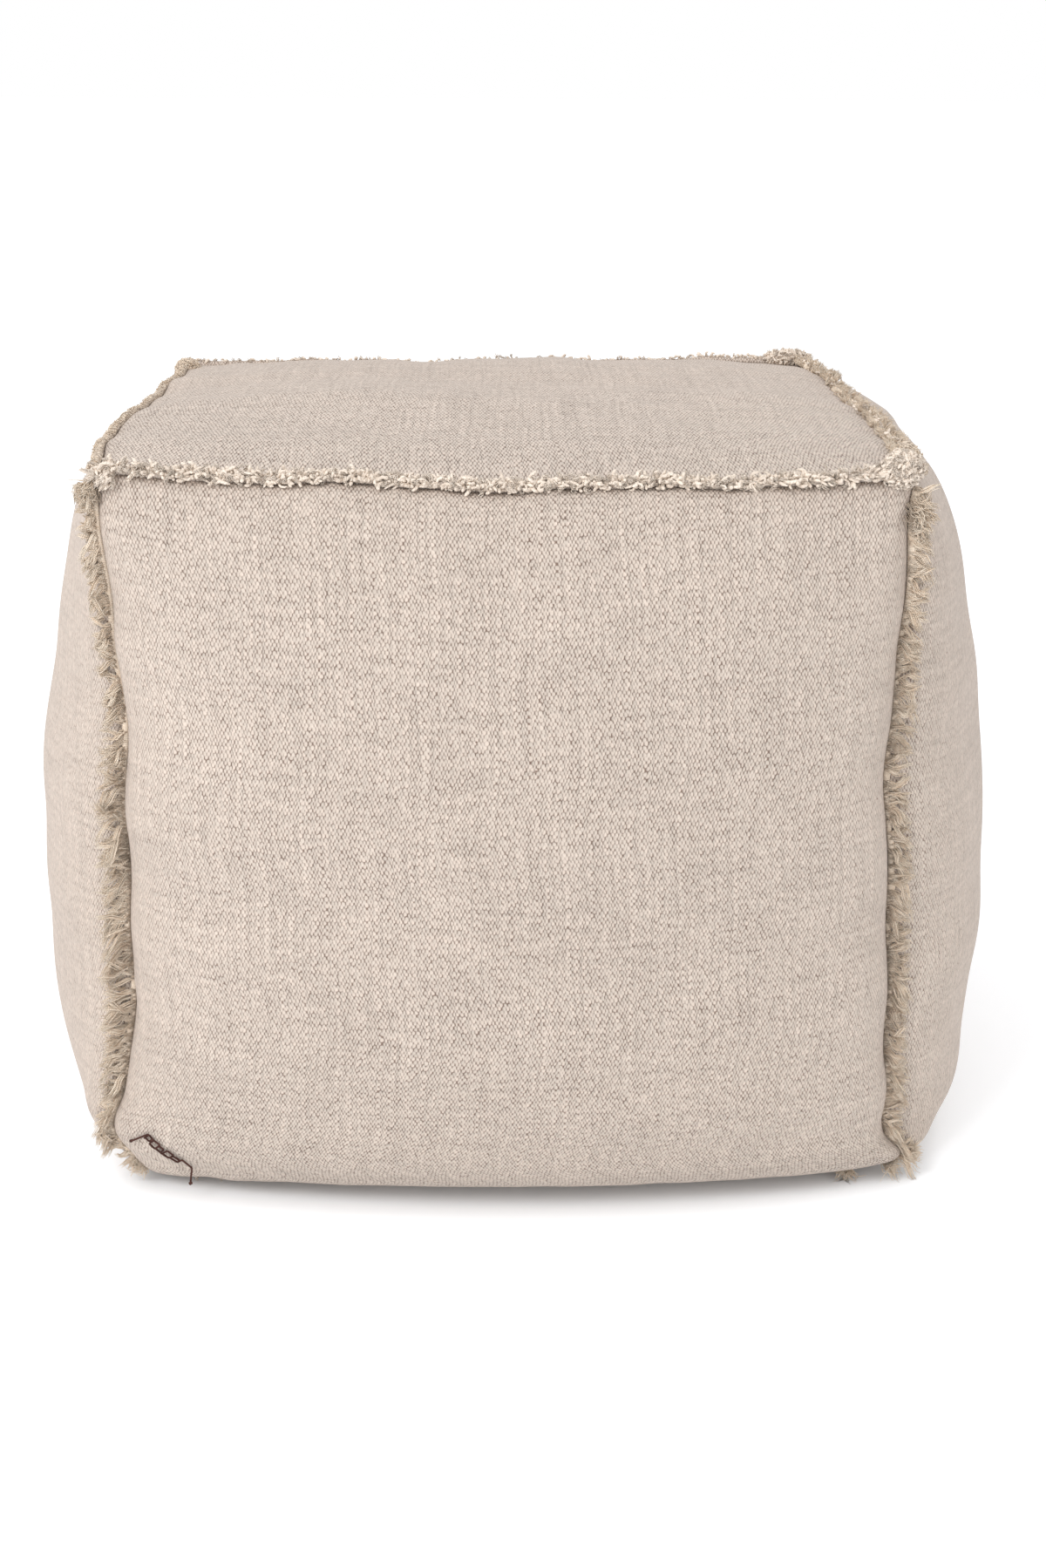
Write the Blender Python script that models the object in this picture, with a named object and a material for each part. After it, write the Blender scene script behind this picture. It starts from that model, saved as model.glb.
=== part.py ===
"""Cube pouf stool: a stuffed cube of heavy undyed cotton cloth.

Six panels are sewn together with their raw edges outwards, so a frayed strip stands on each of
the twelve seams. A short hand stitch in brown thread closes the cloth low on the front panel.
Metres, +Z up, the front faces -Y, and the stool rests on z = 0.
"""

import math
import random
from collections import namedtuple

import bmesh
import bpy
from mathutils import Matrix, Vector

# ---- driving dimensions, in metres -------------------------------------------------------------
SEAM_SPAN = 0.460          # from corner to corner of the sewn cube, both ways across
SEAMS_OFF_CENTRE = (-0.0092, 0.0029)  # the right and front panels are fuller, and the whole is centred
TOP_SEAM_Z = 0.435         # height of the four upper corners
BASE_SEAM_Z = 0.006        # the lower seams sit this far above the floor
BASE_TUCK = 0.012          # how far the lower corners are drawn in under the filling
TUCK_SHARE = 0.04          # share of a side seam's height over which it curls under
CROWN = 0.019              # rise of the top panel above its corners
BASE_SAG = 0.045           # how far the filling would push the base panel through the floor
RELIEF = 0.0016            # soft lumps of the filling

# how a panel fills out from its seams: a low power leaves the seam steeply
ACROSS_POWER = 0.47
SIDE_LOW_POWER = 0.28
SIDE_HIGH_POWER = 0.51
CROWN_POWER = 0.50
BASE_POWER = 0.50

CUBE_CUTS = 17             # cuts along each edge of the cube that the body is shaped from
LOW_CROWDING = 1.35        # crowds the rows of points towards the tight curl at the floor

# the frayed seam allowance
STRIP_THICKNESS = 0.0026   # two layers of cloth
STRIP_HEIGHT = 0.0038      # unfrayed cloth between the seam and the locks
TOP_STRIP_OFFSET = 0.0026  # from the seam line to the root of the strip
SIDE_STRIP_OFFSET = 0.0042
FLOOR_STRIP_OFFSET = 0.0015
STRIP_END = 0.020          # the strip stops at this share of the seam from each corner
LOCK_MIDDLE = 0.52         # share of the lock's reach at which it narrows
LOCK_MIDDLE_WIDTH = 0.84
LOCK_TIP_WIDTH = 0.42
LOCK_TIP_THICKNESS = 0.55
LOCK_SHIFT = 0.25          # unevenness of the locks' widths, as a share of their pitch
LOCK_REACH_SPREAD = 0.24
LOCK_SLANT = 0.20          # sideways lean of a tip, as a share of the pitch
LOCK_CURL = 0.0016         # how far a tip bends out of the strip's plane
CORNER_FAN = 0.45          # extra lean of the last lock towards its corner
CORNER_REACH = 1.35        # the last lock is this many times as long

# the hand stitch, on the front panel near its lower left corner
THREAD_RADIUS = 0.00065
THREAD_LIFT = 0.0014       # centre of the thread above the cloth
THREAD_TURN = 0.0007       # how near to a corner of its path the thread starts to turn
KNOT_SCALE = 1.9           # thickness of the knots that end the thread, as a share of its own
KNOT_LENGTH = 0.0018
STITCH_HALF_WIDTH = 0.0024
STITCH_BARS = 6

X_AXIS, Y_AXIS, Z_AXIS = 0, 1, 2
LEFT = FRONT = BASE = -1
RIGHT = BACK = TOP = 1

# ---- tables ------------------------------------------------------------------------------------
# How far each corner of this stool lies off the even cube, in metres.
Corner = namedtuple("Corner", "side_x side_y level dx dy dz")
CORNERS = (
    Corner(LEFT, FRONT, TOP, 0.005, 0.001, 0.002),
    Corner(RIGHT, FRONT, TOP, -0.006, 0.000, -0.002),
    Corner(LEFT, BACK, TOP, 0.002, 0.001, -0.001),
    Corner(RIGHT, BACK, TOP, -0.003, 0.001, 0.002),
    Corner(LEFT, FRONT, BASE, -0.003, 0.000, 0.000),
    Corner(RIGHT, FRONT, BASE, 0.007, -0.001, 0.000),
    Corner(LEFT, BACK, BASE, -0.002, -0.003, 0.000),
    Corner(RIGHT, BACK, BASE, 0.004, 0.002, 0.000),
)

# How far each panel stands out of the plane of its seams, in metres.
Panel = namedtuple("Panel", "name axis side fullness relief_phase")
PANELS = (
    Panel("front", Y_AXIS, FRONT, 0.072, 0.4),
    Panel("back", Y_AXIS, BACK, 0.068, 2.9),
    Panel("left", X_AXIS, LEFT, 0.075, 1.3),
    Panel("right", X_AXIS, RIGHT, 0.090, 4.1),
    Panel("top", Z_AXIS, TOP, CROWN, 5.2),
    Panel("base", Z_AXIS, BASE, BASE_SAG, 0.0),
)

# One row for each seam. It runs along axis, between the panels that face first and second, which
# are the lower and the higher of the two other axes. bow_first and bow_second arch it outwards at
# its middle, and wave is the height of its small ripples. lean turns the frayed strip from the
# first panel's direction, 0, to the second's, 1. The locks reach low at the seam's start and high
# at its end, beyond the strip.
Seam = namedtuple("Seam", "name axis first second bow_first bow_second wave phase lean low high locks")
SEAMS = (
    Seam("top_front", X_AXIS, FRONT, TOP, 0.007, -0.006, 0.0012, 0.3, 0.52, 0.0070, 0.0085, 34),
    Seam("top_back", X_AXIS, BACK, TOP, 0.006, -0.001, 0.0012, 1.9, 0.08, 0.0070, 0.0070, 24),
    Seam("top_left", Y_AXIS, LEFT, TOP, 0.003, 0.002, 0.0012, 4.4, 0.18, 0.0030, 0.0030, 24),
    Seam("top_right", Y_AXIS, RIGHT, TOP, 0.010, -0.003, 0.0012, 3.1, 0.72, 0.0085, 0.0070, 24),
    Seam("side_front_left", Z_AXIS, LEFT, FRONT, -0.012, 0.000, 0.0020, 0.9, 0.16, 0.0095, 0.0050, 32),
    Seam("side_front_right", Z_AXIS, RIGHT, FRONT, -0.011, 0.000, 0.0020, 2.2, 0.16, 0.0085, 0.0065, 32),
    Seam("side_back_left", Z_AXIS, LEFT, BACK, -0.010, 0.000, 0.0020, 5.6, 0.25, 0.0090, 0.0070, 24),
    Seam("side_back_right", Z_AXIS, RIGHT, BACK, -0.010, 0.000, 0.0020, 3.7, 0.25, 0.0090, 0.0070, 24),
    Seam("base_front", X_AXIS, FRONT, BASE, 0.004, 0.000, 0.0000, 1.1, 0.00, 0.0050, 0.0050, 18),
    Seam("base_back", X_AXIS, BACK, BASE, 0.004, 0.000, 0.0000, 2.4, 0.00, 0.0050, 0.0050, 16),
    Seam("base_left", Y_AXIS, LEFT, BASE, 0.004, 0.000, 0.0000, 3.3, 0.00, 0.0050, 0.0050, 16),
    Seam("base_right", Y_AXIS, RIGHT, BASE, 0.004, 0.000, 0.0000, 4.8, 0.00, 0.0050, 0.0050, 16),
)

# The places that the hand stitch passes, as shares of the front panel's width and height. The bars
# run from the second place to the third, and the rest is loose thread.
Place = namedtuple("Place", "name across up")
STITCH_PLACES = (
    Place("first_knot", 0.011, 0.064),
    Place("first_bar", 0.034, 0.083),
    Place("last_bar", 0.073, 0.051),
    Place("hanging", 0.079, 0.030),
    Place("last_knot", 0.076, 0.013),
)

# How one lock of a frayed strip leans: reach out of the strip, slant along it, curl across it.
Lock = namedtuple("Lock", "reach slant curl")

# Colour (linear) and roughness of each material.
Finish = namedtuple("Finish", "name colour roughness")
FINISHES = (
    Finish("cloth_cream", (0.66, 0.57, 0.49), 0.95),
    Finish("yarn_cream", (0.70, 0.60, 0.50), 0.95),
    Finish("yarn_tan", (0.58, 0.46, 0.35), 0.95),
    Finish("thread_brown", (0.055, 0.030, 0.028), 0.80),
)

CORNER_AT = {(row.side_x, row.side_y, row.level): row for row in CORNERS}
PANEL_AT = {(row.axis, row.side): row for row in PANELS}
SEAM_AT = {(row.axis, row.first, row.second): row for row in SEAMS}


# ---- the shape of the filled cloth -------------------------------------------------------------
def unit(axis, sign=1):
    """The unit vector along an axis."""
    direction = Vector((0.0, 0.0, 0.0))
    direction[axis] = sign
    return direction


def other_axes(axis):
    """The two axes that a seam or a panel with this axis leaves, lower first."""
    return [other for other in (X_AXIS, Y_AXIS, Z_AXIS) if other != axis]


def arch(share):
    """0 at both ends, 1 in the middle."""
    return 4.0 * share * (1.0 - share)


def hump(share, low_power, high_power):
    """How full a panel is at this share of its width: 0 at its seams and 1 at its fullest."""
    fullest = low_power / (low_power + high_power)
    most = fullest**low_power * (1.0 - fullest) ** high_power
    share = min(max(share, 0.0), 1.0)
    return share**low_power * (1.0 - share) ** high_power / most


def corner_point(side_x, side_y, level):
    """Where three seams meet."""
    row = CORNER_AT[side_x, side_y, level]
    half = SEAM_SPAN / 2 if level == TOP else SEAM_SPAN / 2 - BASE_TUCK
    height = TOP_SEAM_Z if level == TOP else BASE_SEAM_Z
    middle_x, middle_y = SEAMS_OFF_CENTRE
    return Vector((middle_x + side_x * half + row.dx, middle_y + side_y * half + row.dy, height + row.dz))


def seam_end(seam, end):
    """The corner at one end, -1 or 1, of a seam."""
    signs = [0, 0, 0]
    signs[seam.axis] = end
    for axis, sign in zip(other_axes(seam.axis), (seam.first, seam.second)):
        signs[axis] = sign
    return corner_point(*signs)


def seam_point(seam, share):
    """A point on a seam line, at this share of the way along it."""
    point = seam_end(seam, -1).lerp(seam_end(seam, 1), share)
    first_axis, second_axis = other_axes(seam.axis)
    ripple = seam.wave * math.sqrt(max(arch(share), 0.0))
    turn = 2 * math.pi * share
    slow = math.sin(2.3 * turn + seam.phase) + 0.6 * math.sin(5.2 * turn + 2 * seam.phase)
    fast = math.cos(3.1 * turn + seam.phase) + 0.5 * math.sin(7.4 * turn + 3 * seam.phase)
    point += unit(first_axis, seam.first) * (seam.bow_first * arch(share) + ripple * slow)
    point += unit(second_axis, seam.second) * (seam.bow_second * arch(share) + ripple * fast)
    if seam.axis == Z_AXIS:
        drawn_out = BASE_TUCK * (1.0 - math.exp(-share / TUCK_SHARE)) * (1.0 - share)
        point += unit(first_axis, seam.first) * drawn_out
        point += unit(second_axis, seam.second) * drawn_out
    return point


def patch_point(panel, across, along):
    """The soap-film surface between the four seams of a panel (a Coons patch)."""
    low_axis, high_axis = other_axes(panel.axis)

    def bordering(running_axis, fixed_axis, fixed_sign):
        signs = {fixed_axis: fixed_sign, panel.axis: panel.side}
        first, second = (signs[axis] for axis in other_axes(running_axis))
        return SEAM_AT[running_axis, first, second]

    lower = bordering(low_axis, high_axis, -1)
    upper = bordering(low_axis, high_axis, 1)
    near = bordering(high_axis, low_axis, -1)
    far = bordering(high_axis, low_axis, 1)
    ruled = seam_point(lower, across).lerp(seam_point(upper, across), along)
    ruled += seam_point(near, along).lerp(seam_point(far, along), across)
    flat = seam_end(lower, -1).lerp(seam_end(lower, 1), across)
    flat = flat.lerp(seam_end(upper, -1).lerp(seam_end(upper, 1), across), along)
    return ruled - flat


def relief(panel, across, along):
    """Soft lumps of the filling under the cloth."""
    phase = panel.relief_phase
    lumps = math.sin(9.1 * across + phase) * math.cos(7.3 * along + 1.7 * phase)
    lumps += 0.6 * math.sin(15.7 * along + 6.1 * across + 2.3 * phase)
    return RELIEF * lumps * arch(across) * arch(along)


def panel_point(panel, across, along):
    """A point of a filled panel, from its shares along the two axes that it spans."""
    point = patch_point(panel, across, along)
    if panel.axis == Z_AXIS:
        power = CROWN_POWER if panel.side == TOP else BASE_POWER
        full = hump(across, power, power) * hump(along, power, power)
    else:
        full = hump(across, ACROSS_POWER, ACROSS_POWER)
        full *= hump(along, SIDE_LOW_POWER, SIDE_HIGH_POWER)
    out = panel.fullness * full
    if panel.side != BASE or panel.axis != Z_AXIS:
        out += relief(panel, across, along)
    point += unit(panel.axis, panel.side) * out
    if panel.axis == Z_AXIS and panel.side == BASE:
        point.z = max(point.z, 0.0)
    return point


def crowded(place, axis):
    """Crowds evenly spaced places, -1 to 1, towards the seams, and returns a share, 0 to 1."""
    share = (1.0 + math.sin(math.pi / 2 * place)) / 2
    return share**LOW_CROWDING if axis == Z_AXIS else share


def filled_point(place):
    """Takes a point of the cube from -1 to 1 to its place on the filled cloth."""
    axis = max(range(3), key=lambda index: abs(place[index]))
    panel = PANEL_AT[axis, 1 if place[axis] > 0 else -1]
    low_axis, high_axis = other_axes(axis)
    return panel_point(panel, crowded(place[low_axis], low_axis), crowded(place[high_axis], high_axis))


# ---- making objects ----------------------------------------------------------------------------
def clear_scene():
    for old in list(bpy.data.objects):
        bpy.data.objects.remove(old, do_unlink=True)


def make_collection(name):
    collection = bpy.data.collections.new(name)
    bpy.context.scene.collection.children.link(collection)
    return collection


def make_material(finish):
    material = bpy.data.materials.new(finish.name)
    material.use_nodes = True
    shader = material.node_tree.nodes["Principled BSDF"]
    shader.inputs["Base Color"].default_value = (*finish.colour, 1.0)
    shader.inputs["Roughness"].default_value = finish.roughness
    shader.inputs["Metallic"].default_value = 0.0
    material.diffuse_color = (*finish.colour, 1.0)
    return material


def make_object(name, bm, collection, material):
    """Turns a closed bmesh into a smooth object with one material, its faces pointing out."""
    if bm.calc_volume(signed=True) < 0.0:
        bmesh.ops.reverse_faces(bm, faces=bm.faces)
    mesh = bpy.data.meshes.new(name)
    bm.to_mesh(mesh)
    bm.free()
    mesh.shade_smooth()
    mesh.materials.append(material)
    made = bpy.data.objects.new(name, mesh)
    collection.objects.link(made)
    return made


# ---- the stuffed body --------------------------------------------------------------------------
def build_body(collection, material):
    """A cube cut into a grid, each point of which is moved out to the filled cloth."""
    bm = bmesh.new()
    bmesh.ops.create_cube(bm, size=2.0)
    bmesh.ops.subdivide_edges(bm, edges=bm.edges[:], cuts=CUBE_CUTS, use_grid_fill=True)
    for vertex in bm.verts:
        vertex.co = filled_point(vertex.co)
    return make_object("pouf_body", bm, collection, material)


# ---- the frayed seam allowances ----------------------------------------------------------------
def lies_on_floor(seam):
    """Whether the strip of this seam lies on the floor."""
    return seam.axis != Z_AXIS and seam.second == BASE


def on_seam(seam, place):
    """Takes a point of the straight comb (share of the seam, thickness, reach) onto its seam."""
    share, thick, reach = place
    first_axis, second_axis = other_axes(seam.axis)
    first = unit(first_axis, seam.first)
    second = unit(second_axis, seam.second)
    outward = (first * (1.0 - seam.lean) + second * seam.lean).normalized()
    point = seam_point(seam, share)
    if lies_on_floor(seam):
        point += outward * (FLOOR_STRIP_OFFSET + reach)
        point.z = thick + STRIP_THICKNESS / 2
        return point
    offset = SIDE_STRIP_OFFSET if seam.axis == Z_AXIS else TOP_STRIP_OFFSET
    point += (first + second).normalized() * offset
    return point + outward * reach + unit(seam.axis).cross(outward) * thick


def random_lock(seam, place, pitch, chance):
    """The reach, slant and curl of the lock at this place along the comb."""
    reach = seam.low + (seam.high - seam.low) * place / (seam.locks - 1)
    reach *= 1.0 + chance.uniform(-LOCK_REACH_SPREAD, LOCK_REACH_SPREAD)
    slant = pitch * chance.uniform(-LOCK_SLANT, LOCK_SLANT)
    towards_corner = (place == seam.locks - 1) - (place == 0)
    if towards_corner:
        reach *= CORNER_REACH
        slant += pitch * CORNER_FAN * towards_corner
    curl = 0.0 if lies_on_floor(seam) else chance.uniform(-LOCK_CURL, LOCK_CURL)
    return Lock(reach, slant, curl)


def draw_out(bm, faces, locks, part, width, thickness):
    """Draws each face out into the next part of its lock, and returns the new end faces."""
    ends = bmesh.ops.extrude_discrete_faces(bm, faces=faces)["faces"]
    ends.sort(key=lambda face: face.calc_center_median().x)
    underside = -STRIP_THICKNESS / 2
    for face, lock in zip(ends, locks):
        middle = face.calc_center_median().x
        for vertex in face.verts:
            vertex.co.x = middle + (vertex.co.x - middle) * width + lock.slant * part
            vertex.co.y = underside + (vertex.co.y - underside) * thickness + lock.curl * part
            vertex.co.z += lock.reach * part
    return ends


def make_comb(seam, chance):
    """A straight strip along X, 0 to 1, with a row of tapering locks on its upper face."""
    bm = bmesh.new()
    length = 1.0 - 2 * STRIP_END
    box = Matrix.Translation((0.5, 0.0, STRIP_HEIGHT / 2))
    box @= Matrix.Diagonal((length, STRIP_THICKNESS, STRIP_HEIGHT, 1.0))
    bmesh.ops.create_cube(bm, size=1.0, matrix=box)
    lengthwise = [edge for edge in bm.edges if abs(edge.verts[0].co.x - edge.verts[1].co.x) > length / 2]
    bmesh.ops.subdivide_edges(bm, edges=lengthwise, cuts=seam.locks - 1)
    pitch = length / seam.locks
    shifts = [chance.uniform(-LOCK_SHIFT, LOCK_SHIFT) * pitch for _ in range(seam.locks + 1)]
    shifts[0] = shifts[-1] = 0.0
    for vertex in bm.verts:
        vertex.co.x += shifts[round((vertex.co.x - STRIP_END) / pitch)]
    bm.normal_update()
    roots = [face for face in bm.faces if face.normal.z > 0.5]
    roots.sort(key=lambda face: face.calc_center_median().x)
    locks = [random_lock(seam, place, pitch, chance) for place in range(seam.locks)]
    middles = draw_out(bm, roots, locks, LOCK_MIDDLE, LOCK_MIDDLE_WIDTH, 1.0)
    tip_width = LOCK_TIP_WIDTH / LOCK_MIDDLE_WIDTH
    draw_out(bm, middles, locks, 1.0 - LOCK_MIDDLE, tip_width, LOCK_TIP_THICKNESS)
    return bm


def build_strip(seam, number, collection, materials):
    """The frayed strip of one seam: a comb of locks laid along the seam."""
    bm = make_comb(seam, random.Random(number))
    for vertex in bm.verts:
        vertex.co = on_seam(seam, vertex.co)
    slot = "yarn_tan" if seam.axis == Z_AXIS else "yarn_cream"
    return make_object("fringe_" + seam.name, bm, collection, materials[slot])


# ---- the hand stitch ---------------------------------------------------------------------------
def over_cloth(across, up):
    """A point of the thread over the front panel, and the way out of the cloth there."""
    front = PANEL_AT[Y_AXIS, FRONT]
    step = 0.002
    point = panel_point(front, across, up)
    rightwards = panel_point(front, across + step, up) - point
    upwards = panel_point(front, across, up + step) - point
    out = rightwards.cross(upwards).normalized()
    return point + out * THREAD_LIFT, out


def bar_corners():
    """The corners of the back-and-forth path that the thread takes over the closed slit."""
    first, last = STITCH_PLACES[1], STITCH_PLACES[2]
    side = 1
    corners = []
    for bar in range(STITCH_BARS):
        share = bar / (STITCH_BARS - 1)
        here = Vector((first.across, first.up)).lerp(Vector((last.across, last.up)), share)
        point, out = over_cloth(*here)
        ahead = over_cloth(last.across, last.up)[0] - over_cloth(first.across, first.up)[0]
        sideways = out.cross(ahead).normalized() * STITCH_HALF_WIDTH
        corners += [point + sideways * side, point - sideways * side]
        side = -side
    return corners


def rounded(corners):
    """The path with two points in place of each corner between its ends."""
    path = [corners[0]]
    for before, corner, after in zip(corners, corners[1:], corners[2:]):
        path.append(corner + (before - corner).normalized() * THREAD_TURN)
        path.append(corner + (after - corner).normalized() * THREAD_TURN)
    path.append(corners[-1])
    return path


def build_stitch(collection, material):
    """One thread: a knot, bars back and forth over the slit, and a hanging end with a knot."""
    first_knot, hanging, last_knot = (over_cloth(*STITCH_PLACES[row][1:])[0] for row in (0, 3, 4))
    path = rounded([first_knot, *bar_corners(), hanging, last_knot])
    path.insert(1, path[0] + (path[1] - path[0]).normalized() * KNOT_LENGTH)
    path.insert(-1, path[-1] + (path[-2] - path[-1]).normalized() * KNOT_LENGTH)
    curve = bpy.data.curves.new("hand_stitch", "CURVE")
    curve.dimensions = "3D"
    curve.bevel_depth = THREAD_RADIUS
    curve.bevel_resolution = 1
    curve.use_fill_caps = True
    spline = curve.splines.new("POLY")
    spline.points.add(len(path) - 1)
    for index, (point, place) in enumerate(zip(spline.points, path)):
        point.co = (*place, 1.0)
        point.radius = KNOT_SCALE if index in (0, 1, len(path) - 2, len(path) - 1) else 1.0
    curve.materials.append(material)
    stitch = bpy.data.objects.new("hand_stitch", curve)
    collection.objects.link(stitch)


# ---- the whole stool ---------------------------------------------------------------------------
def main():
    clear_scene()
    parts = make_collection("cube_pouf_stool")
    materials = {finish.name: make_material(finish) for finish in FINISHES}
    build_body(parts, materials["cloth_cream"])
    for number, seam in enumerate(SEAMS):
        build_strip(seam, number, parts, materials)
    build_stitch(parts, materials["thread_brown"])


main()
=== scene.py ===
"""The looks of the cube pouf stool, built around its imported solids.

The stuffed body is rebuilt as a fine closed mesh with puckers along its seams and a procedural
weave. Each frayed seam allowance is rebuilt as a strip of cloth with loose yarns and fine threads,
and the hand stitch as a twisted thread. Metres, +Z up, the front faces -Y.
"""

import math
from collections import namedtuple

import bmesh
import bpy
import numpy as np
from mathutils import Matrix, Vector


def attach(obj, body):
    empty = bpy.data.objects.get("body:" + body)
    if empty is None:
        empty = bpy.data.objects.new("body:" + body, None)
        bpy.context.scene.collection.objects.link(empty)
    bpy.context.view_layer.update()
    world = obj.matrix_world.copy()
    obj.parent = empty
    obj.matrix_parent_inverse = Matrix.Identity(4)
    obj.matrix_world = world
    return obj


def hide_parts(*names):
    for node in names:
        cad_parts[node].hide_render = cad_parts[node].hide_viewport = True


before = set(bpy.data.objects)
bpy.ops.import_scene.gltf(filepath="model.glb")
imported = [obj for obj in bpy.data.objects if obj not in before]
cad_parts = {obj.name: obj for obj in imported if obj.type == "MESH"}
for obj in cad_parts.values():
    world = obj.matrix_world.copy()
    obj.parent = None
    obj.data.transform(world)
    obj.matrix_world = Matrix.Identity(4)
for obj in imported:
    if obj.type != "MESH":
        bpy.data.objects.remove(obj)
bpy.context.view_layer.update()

# ---- driving dimensions, in metres: the form of the filled cloth, as in the solids ---------------
SEAM_SPAN = 0.460
SEAMS_OFF_CENTRE = (-0.0092, 0.0029)
TOP_SEAM_Z = 0.435
BASE_SEAM_Z = 0.006
BASE_TUCK = 0.012
TUCK_SHARE = 0.04
CROWN = 0.019
BASE_SAG = 0.045
RELIEF = 0.0016            # soft lumps of the filling
RELIEF_FADE = 6.0          # the larger, the nearer to the seams a local lump still reaches
ACROSS_POWER = 0.47
CROWN_POWER = 0.50
BASE_POWER = 0.50
LOW_CROWDING = 1.35
LEFT_FOLD = 0.009          # low on the left the front panel folds out over its seam
LEFT_FOLD_AT = 0.085
LEFT_FOLD_SPAN = 0.045
LEFT_TUCK = 0.008          # and its corner is tucked in by this much
RIGHT_FOLD = 0.012         # lower still on the right it folds out too
RIGHT_FOLD_AT = 0.026
RIGHT_FOLD_SPAN = 0.022
RIGHT_TUCK = 0.0045        # and it is tucked in above that
RIGHT_TUCK_AT = 0.085
RIGHT_TUCK_SPAN = 0.040
FOLD_REACH = 0.06          # share of a side panel that such a fold takes with it

# ---- fine form of the cloth ----------------------------------------------------------------------
PANEL_CELLS = 98           # squares along each side of a panel
PUCKER = 0.00264           # height of the puckers that the stitching draws in along a seam
PUCKER_DEPTH = 0.020       # they fade over this distance from the seam
PUCKER_LENGTH = 0.017      # from one pucker to the next
LONG_PUCKER = 0.0527       # and from one to the next of the longer ones under them
WELD = 2e-5                # points of two panels that are nearer than this become one
PANELS_APART = 0.7         # from one panel to the next on the flat cloth

# ---- the weave -----------------------------------------------------------------------------------
COLUMN = 0.00107           # from one warp yarn to the next
BEAD = 0.0041              # from one crossing of a warp yarn to its next
BEAD_CHANCE = 0.28         # how far the beads stray from an even lattice
BEAD_SLIM = 2.6            # how much sooner a bead falls off along the warp than across it
BEAD_SIZES = (1.2, 0.8)    # how soon the smallest beads fall off, and the largest
WEAVE_DEPTH = 0.00056
GAP_SHADE_BOUNDS = (0.25, 1.10)  # the painted shade of a gap, in place of its shadow, starts and is full at these squared distances
MEAN_SHADE = 0.34          # of the painted shade in the gaps between the beads, over the whole cloth
GAP_SHADES = (0.80, 0.92)  # of the painted shade in a gap where the cloth is firm, and where it is worn loose
PARTED_SHADE = 0.30        # and how much more painted shade where two yarns have parted
PARTED_BOUNDS = (0.30, 0.46)
CONTRASTS = (0.76, 1.66)   # of the painted shade in the weave where the cloth is dullest, and where it is clearest
CONTRAST_PATCHES = 6.0     # of them in each metre
CLOUDS = 14.0              # lighter and darker clouds in each metre
FIBRE_HEIGHT = 0.30        # in bead heights
SLUB_HEIGHT = 0.80
SIDE_FLATNESS = 0.62       # how much less the beads, in relief and painted shade, stand out on the side panels
TOP_FLATNESS = 0.55        # and towards the back of the top
TOP_CRISPNESS = 0.02       # how much more they stand out along the front of the top
TOP_BEADS = 1.95           # how much longer they are on the top
FACING_SIDE = (0.25, 0.875)       # how far the cloth faces sideways where the side panels start
FACING_UP = (1 / 3, 8 / 9)        # and how far up where the top does
TOP_BACK_Y = (-0.17, 0.08)        # the top grows flatter from the first place to the second
FLECKS = 95.0              # places for a seed fleck in each metre, both ways
FLECK_RADIUS = 0.055       # as a share of the way between them
FLECK_SHARE = 0.22         # of the places that have one
FLECK_STRENGTH = 0.75

# Uneven places in the weave: how many bumps of noise there are to a yarn and to a bead, a number
# that keeps each kind apart, and the noise's finer octaves and their strength.
Uneven = namedtuple("Uneven", "to_column to_row layer detail roughness")
SWAY = Uneven(0.31, 0.045, 0.0, 1.0, 0.5)          # yarns that grow wider and narrower
WANDER = Uneven(0.37, 0.33, 5.0, 2.0, 0.5)         # rows that aren't straight
STREAK = Uneven(0.50, 0.045, 9.0, 3.0, 0.6)        # slubs along the warp
WEFT_STREAK = Uneven(0.022, 1.1, 3.0, 3.0, 0.6)    # and along the weft
WORN_SHADE = Uneven(0.8, 1.1, 2.0, 2.0, 0.5)             # places where the cloth is worn loose, with deeper painted shade in its gaps
WORN_SHADE_BOUNDS = (0.30, 0.70)
FIBRE = Uneven(3.0, 2.5, 0.0, 3.0, 0.7)            # single fibres on the beads
SWAY_SHIFT = 2.0           # in yarns
WANDER_SHIFT = 0.7         # in beads

# How light the cloth is at the least and the most of each kind of unevenness.
STREAK_LIGHT = (0.83, 1.19)
WEFT_LIGHT = (0.83, 1.17)
BEAD_LIGHT = (0.935, 1.065)
CLOUD_LIGHT = (0.95, 1.05)

WARM_COTTON = (0.618, 0.525, 0.455, 1.0)
COOL_COTTON = (0.592, 0.514, 0.448, 1.0)
# the colour of the painted shade in the gaps between the beads, in place of their shadow
GAP_SHADE_COLOUR = (0.235, 0.167, 0.132, 1.0)
FLECK_COLOUR = (0.160, 0.085, 0.060, 1.0)
FLOOR_COLOUR = (0.860, 0.877, 0.900, 1.0)
WHITE = (1.0, 1.0, 1.0, 1.0)

# Loose cotton: its darkest and lightest colour, how far one turn of its twist goes, its sheen, how
# fine its patches are, how much single strands differ, and the tones that are darkest and lightest.
Cotton = namedtuple("Cotton", "name dark light turn sheen patches differ low high")
COTTONS = (
    Cotton("cream_yarn", (0.67, 0.57, 0.48), (0.89, 0.785, 0.68), 0.0018, 0.25, 260.0, 0.5, 0.05, 0.85),
    # the next cotton is mottled, and darker than the threads over it as painted shade under them
    Cotton("shaded_tan_core", (0.27, 0.205, 0.155), (0.80, 0.68, 0.56), 0.0012, 0.25, 560.0, 0.0, 0.18, 0.42),
    Cotton("tan_thread", (0.90, 0.705, 0.53), (1.0, 0.87, 0.72), 0.0012, 0.60, 260.0, 0.5, 0.05, 0.85),
    Cotton("brown_thread", (0.035, 0.015, 0.012), (0.11, 0.052, 0.042), 0.001, 0.0, 260.0, 0.5, 0.05, 0.85),
)
TWIST_DEPTH = 0.0002
TWIST_STRENGTH = 0.7

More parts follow.
